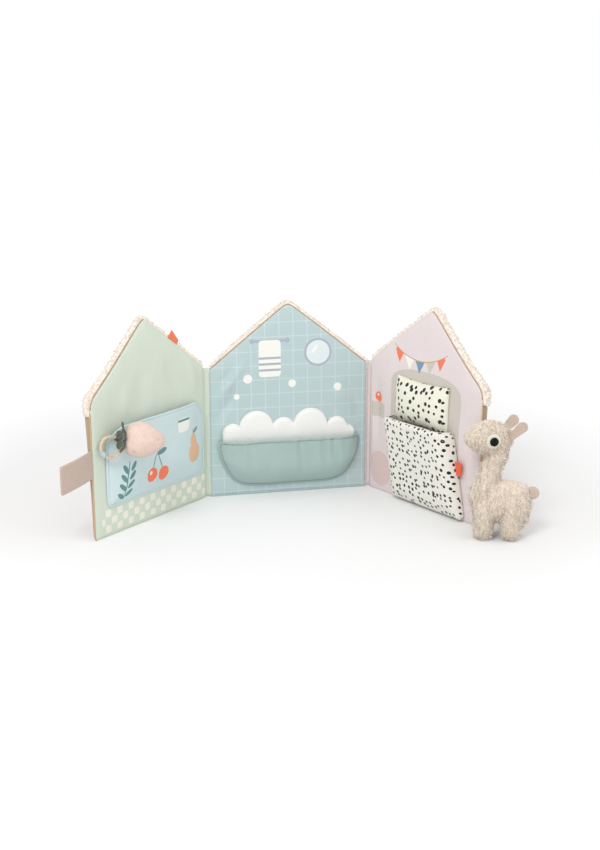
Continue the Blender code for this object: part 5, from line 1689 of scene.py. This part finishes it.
def wood_material():
    """Unvarnished beech: thin layers with short dark flecks, silky at the worn outside."""
    made, tree, shader = paint("beech", 0.5, 0.0, 0.4)
    layers = add_node(tree, "ShaderNodeMapping", {
        "Vector": own_place(tree), "Rotation": (0.3, 0.5, 0.2), "Scale": (1.0, 1.0, 7.0)})
    grain = add_node(tree, "ShaderNodeTexNoise", {"Vector": layers.outputs[0], "Scale": 160.0, "Detail": 6.0})
    shade = ranged(tree, grain.outputs[0], 0.35, 0.65)
    tree.links.new(blend_colour(tree, shade, linear(205, 180, 148), linear(226, 208, 184)),
                   shader.inputs["Base Color"])
    add_bump(tree, shader, grain.outputs[0], 0.00012)
    return made


def join_rings(bm, low, high):
    """Faces all round between two rings of points."""
    count = len(low)
    for k in range(count):
        m = (k + 1) % count
        bm.faces.new((low[k], high[k], high[m], low[m]))


def swept_ring(name, tube, inner, start, stop, around, along, material):
    """A tube round part of the ring's circle; with an inner radius it is a closed band of cloth."""
    bm = bmesh.new()
    whole = stop - start >= 2 * math.pi - 1e-6
    sections = []
    for i in range(along if whole else along + 1):
        a = start + (stop - start) * i / along
        loops = []
        for radius in ((tube,) if inner is None else (tube, inner)):
            loop = []
            for k in range(around):
                b = 2 * math.pi * k / around
                reach = RING_RADIUS + radius * math.cos(b)
                loop.append(bm.verts.new((math.cos(a) * reach, math.sin(a) * reach, radius * math.sin(b))))
            loops.append(loop)
        sections.append(loops)
    pairs = list(zip(sections, sections[1:])) + ([(sections[-1], sections[0])] if whole else [])
    for one, two in pairs:
        for low, high in zip(one, two):
            join_rings(bm, low, high)
    if inner is not None:
        for loops in (sections[0], sections[-1]):
            join_rings(bm, *loops)
    bmesh.ops.recalc_face_normals(bm, faces=bm.faces[:])
    bmesh.ops.transform(bm, matrix=RING_PLACE, verts=bm.verts[:])
    return finish_mesh(name, bm, material)


def felt_material(name, colour, dark):
    """Pressed felt: matted fibres, no weave."""
    return pile_material(name, colour, dark, sheen=0.25, scale=1300.0)


LEAF_FELT = felt_material("leaf_felt", linear(96, 106, 94), linear(60, 68, 60))
RING = swept_ring("beech_ring", RING_TUBE, None, 0.0, 2 * math.pi, 24, 96, wood_material())
print("ring", box_mm(RING), "mm")

# %% [markdown]
# The strawberry is a stuffed body of short plush: a turned profile with broad shoulders, flattened a little
# and pulled in at a few embroidered seeds. Its calyx is one star of felt, and a felt tab holds the ring.


# %% The strawberry's frame and body
BERRY_LENGTH, BERRY_HEIGHT, BERRY_DEPTH = 0.048, 0.040, 0.035
RING_FLAT = Vector((-0.2825, -0.0115, 0.110))
BERRY_LEAN = math.radians(-13)
BERRY_OUT = math.radians(30)


def berry_place():
    """Matrix at the stem end, whose Z runs to the tip and whose X goes up the page."""
    reach = math.cos(BERRY_OUT)
    along = Vector((math.cos(BERRY_LEAN) * reach, -math.sin(BERRY_OUT), math.sin(BERRY_LEAN) * reach))
    up = Vector((-math.sin(BERRY_LEAN), 0.0, math.cos(BERRY_LEAN)))
    facing = Matrix((up, along.cross(up), along)).transposed().to_4x4()
    return Matrix.Translation(RING_FLAT + Vector((0.0045, -0.0167, 0.0120))) @ facing


BERRY_PLACE = berry_place()


def berry_radius(t):
    """Share of the full radius at a share of the length: broad shoulders and a blunt tip."""
    if t <= 0.0 or t >= 1.0:
        return 0.0
    return math.sqrt(math.sin(math.pi * t ** 0.75)) * (1.0 - 0.16 * t) / 0.94


BERRY_SEEDS = [(0.22, 0.3), (0.22, 2.4), (0.22, 4.5), (0.42, 1.3), (0.42, 3.4), (0.42, 5.5), (0.60, 0.3),
               (0.60, 2.4), (0.60, 4.5), (0.76, 1.4), (0.76, 3.5), (0.76, 5.6)]


def berry_point(t, angle):
    """A point of the strawberry's skin in its own frame."""
    share = berry_radius(t)
    dip = 0.0
    for at, turn in BERRY_SEEDS:
        across = math.remainder(angle - turn, 2 * math.pi) * share * BERRY_DEPTH * 0.65
        away = math.hypot(across, (t - at) * BERRY_LENGTH)
        dip += 0.0017 * math.exp(-(away / 0.0021) ** 2)
    lump = 0.0008 * noise.noise(Vector((math.cos(angle) * 1.6, math.sin(angle) * 1.6, t * 4.0 + 7.0)))
    x = math.cos(angle) * (share * BERRY_HEIGHT / 2 - (dip - lump) * min(share * 2, 1.0))
    y = math.sin(angle) * (share * BERRY_DEPTH / 2 - (dip - lump) * min(share * 2, 1.0))
    return Vector((x, y, t * BERRY_LENGTH))


def berry_body(material):
    """The stuffed body as rings of points, closed at both poles."""
    bm = bmesh.new()
    levels = [0.5 - 0.5 * math.cos(math.pi * i / 56) for i in range(57)]
    around = 84
    rings = [[bm.verts.new(berry_point(t, 2 * math.pi * k / around)) for k in range(around)]
             for t in levels[1:-1]]
    foot, tip = bm.verts.new((0, 0, 0.0002)), bm.verts.new((0, 0, BERRY_LENGTH - 0.0002))
    for low, high in zip(rings, rings[1:]):
        for k in range(around):
            bm.faces.new((low[k], low[(k + 1) % around], high[(k + 1) % around], high[k]))
    for k in range(around):
        bm.faces.new((foot, rings[0][(k + 1) % around], rings[0][k]))
        bm.faces.new((tip, rings[-1][k], rings[-1][(k + 1) % around]))
    bmesh.ops.recalc_face_normals(bm, faces=bm.faces[:])
    bmesh.ops.transform(bm, matrix=BERRY_PLACE, verts=bm.verts[:])
    return finish_mesh("strawberry_plush", bm, material, "left")


BERRY_PLUSH = pile_material("strawberry_plush", linear(238, 216, 204), linear(222, 194, 180), sheen=0.3,
                            scale=900.0)
BERRY = berry_body(BERRY_PLUSH)
SHORT_PILE = tuft_mesh("short_pile", 3, 0.5, 0.20)
BERRY_PILE = planted("strawberry_pile", copy_of(BERRY, lambda f: True), SHORT_PILE, BERRY_PLUSH, 0.0011, 0.0010,
                     comb=(0, 0, -1), lean_by=0.9, seed=11)
print("strawberry", box_mm(BERRY), "mm")

# %% [markdown]
# The calyx is one piece of felt. Its outline is a circle whose radius rises and falls five times, and its
# points curl up at their ends. A felt tab is a band round the ring with a flat tongue that is sewn down.

# %% The calyx and the felt tab
LEAVES = 5


def calyx_point(turn, share, face):
    """A point of the felt star: share runs from the stem out to the edge, face is 0 below and 1 above."""
    edge = 0.0175 * (0.74 + 0.26 * math.cos(LEAVES * turn)) * (1.0 + 0.08 * math.sin(3 * turn + 1.0))
    reach = edge * share
    lifted = 0.0034 * (0.5 + 0.5 * math.sin(LEAVES * turn + 1.2)) + 0.0026 * (0.5 + 0.5 * math.sin(8 * turn))
    curl = -0.0006 - lifted * share ** 2 + 0.0012 * share
    up = curl - face * 0.0017 * (0.4 + 0.6 * rounded(1.0 - share, 0.10))
    return Vector((math.cos(turn) * reach, math.sin(turn) * reach * 0.88, up))


def calyx(material):
    """One star of felt that cups the shoulders."""
    bm = bmesh.new()
    around, across = 120, 12
    layers = []
    for face in (0.0, 1.0):
        middle = bm.verts.new(calyx_point(0.0, 0.0, face))
        rings = [[bm.verts.new(calyx_point(2 * math.pi * k / around, j / across, face)) for k in range(around)]
                 for j in range(1, across + 1)]
        for k in range(around):
            bm.faces.new((middle, rings[0][k], rings[0][(k + 1) % around]))
        for low, high in zip(rings, rings[1:]):
            join_rings(bm, low, high)
        layers.append(rings[-1])
    join_rings(bm, *layers)
    bmesh.ops.recalc_face_normals(bm, faces=bm.faces[:])
    bmesh.ops.transform(bm, matrix=BERRY_PLACE, verts=bm.verts[:])
    return finish_mesh("calyx_felt", bm, material, "left")


def ring_angle(point):
    """The angle on the ring's circle that lies nearest to a point in place."""
    local = RING_PLACE.inverted() @ point
    return math.atan2(local.y, local.x)


def felt_tab(name, angle, target, width, material):
    """A band round the ring and a flat tab from it to a target point in place."""
    spread = 0.0030 / RING_RADIUS
    band = swept_ring(name, RING_TUBE + 0.0013, RING_TUBE + 0.0004, angle - spread, angle + spread, 20, 6,
                      material)
    local = RING_PLACE.inverted()
    start = Vector((math.cos(angle), math.sin(angle), 0.0)) * RING_RADIUS
    end = local @ target
    way = (end - start).normalized()
    start = start + way * (RING_TUBE + 0.0008)
    along = Vector((-math.sin(angle), math.cos(angle), 0.0))
    side = (along - way * along.dot(way)).normalized()
    thick = way.cross(side)
    bm = bmesh.new()
    bm.from_mesh(band.data)
    bm.transform(local)
    count = 10
    rows = []
    for i in range(count + 1):
        share = i / count
        middle = start.lerp(end, share)
        rows.append([bm.verts.new(middle + side * width * s * 0.5 + thick * 0.0008 * t)
                     for s, t in ((-1, -1), (1, -1), (1, 1), (-1, 1))])
    for low, high in zip(rows, rows[1:]):
        for k in range(4):
            bm.faces.new((low[k], low[(k + 1) % 4], high[(k + 1) % 4], high[k]))
    bm.faces.new(rows[0])
    bm.faces.new(list(reversed(rows[-1])))
    bmesh.ops.recalc_face_normals(bm, faces=bm.faces[:])
    bm.transform(RING_PLACE)
    bm.to_mesh(band.data)
    bm.free()
    return band


CALYX = calyx(LEAF_FELT)
STEM_POINT = PLACED["left"] @ (BERRY_PLACE @ Vector((0.0, 0.0, -0.0012)))
STEM_TAB = felt_tab("stem_tab", ring_angle(STEM_POINT), STEM_POINT, 0.0056, LEAF_FELT)
RING_TURNED = (Matrix.Rotation(math.radians(-25), 4, "Z") @ Matrix.Rotation(math.radians(-10), 4, "X")
               @ Matrix.Rotation(math.pi / 2, 4, "X"))
TETHER_ANGLE = math.radians(214)
TETHER_WAY = Vector((math.cos(TETHER_ANGLE), math.sin(TETHER_ANGLE), 0))
TETHER_FLAT = RING_FLAT + RING_TURNED @ (RING_RADIUS * TETHER_WAY)
TETHER_TARGET = PLACED["left"] @ Vector((TETHER_FLAT.x, -0.0006, TETHER_FLAT.z))
TETHER_COTTON = pile_material("tether_cotton", linear(190, 212, 215), linear(170, 194, 198), scale=1500.0)
RING_TETHER = felt_tab("ring_tether", ring_angle(PLACED["left"] @ TETHER_FLAT), TETHER_TARGET, 0.0050,
                       TETHER_COTTON)
hand_over(RING, "strawberry", "wooden_ring")
hand_over(BERRY, "strawberry", "strawberry_body", fill=0.8)
hand_over(BERRY_PILE, "strawberry", slot="strawberry_plush")
hand_over(CALYX, "strawberry", "strawberry_leaves")
hand_over(STEM_TAB, "strawberry", "strawberry_loop")
hand_over(RING_TETHER, "left_page", "ring_loop")

# %% [markdown]
# ## Llama
# A small stuffed animal is sewn from curved panels, and when it is filled the seams vanish under the fur.
# Here plain rounded shapes overlap and are melted into one skin by a voxel remesh and some smoothing.


# %% The llama's skin
LLAMA_PLACE = Matrix.Translation((0.1985, -0.2090, 0.0)) @ Matrix.Rotation(math.radians(-20), 4, "Z")
HEAD_SIZE = Vector((0.056, 0.036, 0.039))
HEAD_PLACE = (Matrix.Translation((-0.013, 0.0, 0.1185)) @ Matrix.Rotation(math.radians(24), 4, "Z")
              @ Matrix.Rotation(math.radians(10), 4, "Y"))


def as_is(co):
    return co


def body_form(co):
    """Fuller at the rump, with square quarters and a flatter belly."""
    swell = 1.0 + 0.45 * (co.x * co.z) ** 2
    width = 1.0 + 0.08 * co.x
    return Vector((co.x * swell, co.y * width, co.z * swell * (width if co.z > 0 else 0.92)))


def head_form(co):
    """Tapers to a blunt snout."""
    taper = 1.0 - 0.16 * max(-co.x, 0.0) ** 1.5
    return Vector((co.x, co.y * taper, co.z * taper - 0.10 * max(-co.x, 0.0) ** 2))


def leg_form(co):
    """A column with a rounded foot."""
    across = math.hypot(co.x, co.y)
    swell = across ** -0.55 if across > 1e-6 else 1.0
    return Vector((co.x * swell, co.y * swell, math.copysign(abs(co.z) ** 0.8, co.z)))


def neck_form(co):
    """A column, wider at the shoulders, that leans back towards the head."""
    across = math.hypot(co.x, co.y)
    width = (across ** -0.5 if across > 1e-6 else 1.0) * (1.08 - 0.14 * co.z)
    return Vector((co.x * width + 0.70 * co.z, co.y * width, co.z))


def melted(name, shapes, voxel, smooth_by):
    """Overlapping rounded shapes melted into one closed skin."""
    bm = bmesh.new()
    for size, place, form in shapes:
        made = bmesh.ops.create_icosphere(bm, subdivisions=4, radius=1.0)["verts"]
        for vert in made:
            co = form(vert.co.copy())
            vert.co = place @ Vector((co.x * size[0] / 2, co.y * size[1] / 2, co.z * size[2] / 2))
    blob = finish_mesh(name + "_shapes", bm, FUR_SKIN)
    remesh = blob.modifiers.new("melt", "REMESH")
    remesh.mode = "VOXEL"
    remesh.voxel_size = voxel
    relax = blob.modifiers.new("relax", "SMOOTH")
    relax.factor = 0.5
    relax.iterations = smooth_by
    return plain_from(blob, name)


FUR_SKIN = pile_material("llama_skin", linear(236, 222, 205), linear(206, 188, 168), sheen=0.3, scale=500.0)


def moved_turned(x, z, degrees=0.0):
    """Matrix of a place in the llama's middle plane, tipped about Y."""
    return Matrix.Translation((x, 0.0, z)) @ Matrix.Rotation(math.radians(degrees), 4, "Y")


LLAMA_SHAPES = [
    ((0.067, 0.040, 0.051), moved_turned(0.0055, 0.0425), body_form),
    ((0.0232, 0.0236, 0.066), moved_turned(-0.0080, 0.077), neck_form),
    ((0.036, 0.034, 0.044), moved_turned(-0.0125, 0.050), as_is),
    ((0.023, 0.025, 0.038), moved_turned(-0.0002, 0.1000, 10), as_is),
    ((0.052, 0.036, 0.028), moved_turned(0.0020, 0.0400), as_is),
    ((0.030, 0.035, 0.050), moved_turned(0.0235, 0.0330, 12), as_is),
    (HEAD_SIZE + Vector((0.0025, -0.0010, 0.0)), HEAD_PLACE @ moved_turned(0.0022, 0.0), head_form)]
for foot_x in (-0.0138, 0.0172):
    for hand in (1.0, -1.0):
        foot = Matrix.Translation((foot_x, hand * 0.0108, 0.0235))
        LLAMA_SHAPES.append(((0.0222, 0.0205, 0.046), foot, leg_form))


def settled_feet(skin):
    """Press the feet flat on the ground: the fur brings them down to it."""
    for vert in skin.data.vertices:
        if vert.co.z < 0.0012:
            vert.co.z = 0.0012
    skin.data.transform(LLAMA_PLACE)
    skin.data.shade_smooth()
    skin.data.update()
    return skin


LLAMA_SKIN = settled_feet(melted("llama_skin", LLAMA_SHAPES, 0.0019, 9))
print("llama skin", box_mm(LLAMA_SKIN), "mm", len(LLAMA_SKIN.data.polygons), "faces")

# %% [markdown]
# The fur is long-haired plush, combed downwards, and clumps into locks. Each lock is one bent three-sided
# tuft. The skin is split into the head and the rest, so that no piece grows too heavy. The head has shorter
# hair, and the skin under the felt rounds stays bare.


# %% Fur in locks


def fur_material():
    """Long plush: light and dark streaks that are drawn out along the locks."""
    made, tree, shader = paint("llama_fur", 0.85, 0.45, 0.2)
    drawn_out = add_node(tree, "ShaderNodeMapping", {
        "Vector": own_place(tree), "Scale": (1.0, 1.0, 0.26), "Rotation": (0.15, 0.10, 0.0)})
    streaks = add_node(tree, "ShaderNodeTexNoise", {
        "Vector": drawn_out.outputs[0], "Scale": 420.0, "Detail": 5.0, "Distortion": 0.5})
    shade = ranged(tree, streaks.outputs[0], 0.36, 0.60)
    tree.links.new(blend_colour(tree, shade, linear(212, 193, 173), linear(254, 247, 237)),
                   shader.inputs["Base Color"])
    return made


FUR = fur_material()
LOCK = tuft_mesh("lock", 3, 0.85, 0.13)
TO_HEAD = HEAD_PLACE.inverted() @ LLAMA_PLACE.inverted()
EYE_SPOTS = [LLAMA_PLACE @ HEAD_PLACE @ Vector((0.0005, hand * HEAD_SIZE.y / 2, -0.0005))
             for hand in (1.0, -1.0)]


def near_eye(point, reach=0.0098):
    return min((point - spot).length for spot in EYE_SPOTS) < reach


def on_head(point):
    """Whether a point of the skin belongs to the head."""
    local = TO_HEAD @ point
    return local.z > -0.017 and abs(local.x) < 0.032 and (LLAMA_PLACE.inverted() @ point).z > 0.094


def not_foot(face):
    return face.calc_center_median().z > 0.0022 or face.normal.z > -0.6


BODY_GROUND = copy_of(LLAMA_SKIN, lambda f: not on_head(f.calc_center_median()) and not_foot(f))
HEAD_GROUND = copy_of(LLAMA_SKIN, lambda f: on_head(f.calc_center_median())
                      and not near_eye(f.calc_center_median()))
BODY_FUR = planted("llama_body_fur", BODY_GROUND, LOCK, FUR, 0.00125, 0.0045, comb=(0.12, 0.05, -1.0),
                   lean_by=2.1, seed=21)
for vert in BODY_FUR.data.vertices:
    vert.co.z = max(vert.co.z, 0.0003)
HEAD_FUR = planted("llama_head_fur", HEAD_GROUND, LOCK, FUR, 0.00125, 0.0040, comb=(0.45, -0.2, -0.9),
                   lean_by=1.3, seed=22)

# %% [markdown]
# Ears and tail are two layers of felt, the eyes are glossy domes over pale felt rounds. The felt rounds take
# the head's curve, which a ray cast from the side finds.


# %% Ears, tail and eyes
EAR_FELT = felt_material("ear_felt", linear(212, 193, 178), linear(186, 166, 150))
PATCH_FELT = felt_material("eye_patch_felt", linear(236, 232, 216), linear(212, 206, 188))


def ear(name, hand):
    """A paddle of doubled felt with a soft dish in its front."""
    root = HEAD_PLACE @ Vector((HEAD_SIZE.x * 0.36 + 0.0030, hand * 0.0115, HEAD_SIZE.z * 0.20 - 0.0035))
    place = (LLAMA_PLACE @ Matrix.Translation(root) @ Matrix.Rotation(math.radians(42), 4, "Y")
             @ Matrix.Rotation(-hand * math.radians(14), 4, "X"))

    def half_width(v):
        share = min(max(v / 0.0258, 0.0), 1.0)
        return 0.0040 + 0.0030 * share - 0.0067 * (1.0 - rounded(1.0 - share, 0.26))

    heights = steps(-0.003, 0.0257, 0.0009)

    def rows_of(v):
        return [half_width(v) * (-1.0 + 2.0 * k / 12) for k in range(13)]

    def front(v, u):
        share = u / half_width(v)
        return -0.0013 * rounded(1.0 - abs(share), 0.35) + 0.0010 * (1.0 - share * share) - 0.0004

    bm = grid_shell(heights, rows_of, front, lambda v, u: 0.0013 * rounded(1.0 - abs(u / half_width(v)), 0.35)
                    + 0.0006 * (1.0 - (u / half_width(v)) ** 2) + 0.0002, lambda v, u: 0.0, 1)
    for vert in bm.verts:
        v, depth, u = vert.co
        vert.co = place @ Vector((u, depth, v))
    bmesh.ops.recalc_face_normals(bm, faces=bm.faces[:])
    return finish_mesh(name, bm, EAR_FELT)


def button(name, radius, bulge, place, material, rings=14, around=48, edge=0.0005):
    """A round pad that faces Y on both sides."""
    bm = bmesh.new()
    layers = []
    for side in (-1.0, 1.0):
        tip = bm.verts.new((0.0, side * (bulge + edge), 0.0))
        loops = []
        for j in range(1, rings + 1):
            share = j / rings
            dome = bulge * math.sqrt(max(1.0 - share * share, 0.0))
            depth = side * (edge * rounded(1.0 - share, 0.12) + dome)
            if j == rings:
                depth = side * 0.00001
            turns = [2 * math.pi * k / around for k in range(around)]
            loops.append([bm.verts.new((radius * share * math.cos(turn), depth, radius * share * math.sin(turn)))
                          for turn in turns])
        for k in range(around):
            bm.faces.new((tip, loops[0][k], loops[0][(k + 1) % around]))
        for low, high in zip(loops, loops[1:]):
            join_rings(bm, low, high)
        layers.append(loops[-1])
    join_rings(bm, *layers)
    bmesh.ops.recalc_face_normals(bm, faces=bm.faces[:])
    bmesh.ops.transform(bm, matrix=place, verts=bm.verts[:])
    return finish_mesh(name, bm, material)


def head_surface(hand, x, z):
    """Distance outwards of the smooth head at a place beside the eye, in the head's own frame."""
    start = LLAMA_PLACE @ HEAD_PLACE @ Vector((x, hand * 0.040, z))
    aim = (LLAMA_PLACE @ HEAD_PLACE).to_3x3() @ Vector((0.0, -hand, 0.0))
    hit, spot, _, _ = LLAMA_SKIN.ray_cast(start, aim)
    return (TO_HEAD @ spot).y * hand if hit else HEAD_SIZE.y / 2


def eye_patch(name, hand):
    """A felt round that lies on the head."""
    bm = bmesh.new()
    rings, around = 9, 40
    layers = []
    for level in (0.0009, 0.0022):
        loops = []
        for j in range(rings + 1):
            radius = 0.0085 * j / rings
            drop = 0.0005 * (1.0 - rounded(1.0 - j / rings, 0.12)) if level > 0.001 else 0.0
            ring = []
            for k in range(around if j else 1):
                x = 0.0005 + radius * math.cos(2 * math.pi * k / around)
                z = -0.0005 + radius * math.sin(2 * math.pi * k / around)
                ring.append(bm.verts.new((x, hand * (head_surface(hand, x, z) + level - drop), z)))
            loops.append(ring)
        for k in range(around):
            bm.faces.new((loops[0][0], loops[1][k], loops[1][(k + 1) % around]))
        for low, high in zip(loops[1:], loops[2:]):
            join_rings(bm, low, high)
        layers.append(loops[-1])
    join_rings(bm, *layers)
    bmesh.ops.recalc_face_normals(bm, faces=bm.faces[:])
    bmesh.ops.transform(bm, matrix=LLAMA_PLACE @ HEAD_PLACE, verts=bm.verts[:])
    return finish_mesh(name, bm, PATCH_FELT)


def gloss_material():
    """Polished black plastic."""
    made, _, shader = paint("eye_gloss", 0.16, 0.0, 0.16)
    shader.inputs["Base Color"].default_value = (*linear(4, 4, 5)[:3], 1.0)
    return made


EYE_GLOSS = gloss_material()
for label, hand in (("left", 1.0), ("right", -1.0)):
    outward = head_surface(hand, 0.0005, -0.0005)
    spot = LLAMA_PLACE @ HEAD_PLACE @ Matrix.Translation((0.0005, hand * (outward + 0.0021), -0.0005))
    hand_over(button("llama_%s_eye_dome" % label, 0.0052, 0.0034, spot, EYE_GLOSS), "llama",
              "llama_%s_eye" % label)
    hand_over(eye_patch("llama_%s_patch" % label, hand), "llama", "llama_%s_eye_patch" % label)
    hand_over(ear("llama_%s_felt_ear" % label, hand), "llama", "llama_%s_ear" % label)
TAIL_SPOT = LLAMA_PLACE @ Matrix.Translation((0.0408, 0.0, 0.0542))
hand_over(button("llama_felt_tail", 0.0078, 0.0022, TAIL_SPOT, EAR_FELT, edge=0.0008), "llama", "llama_tail")
hand_over(LLAMA_SKIN, "llama", "llama_body", "llama_neck", "llama_head", "llama_front_left_leg",
          "llama_front_right_leg", "llama_rear_left_leg", "llama_rear_right_leg", fill=0.9)
hand_over(BODY_FUR, "llama", slot="llama_plush")
hand_over(HEAD_FUR, "llama", slot="llama_plush")
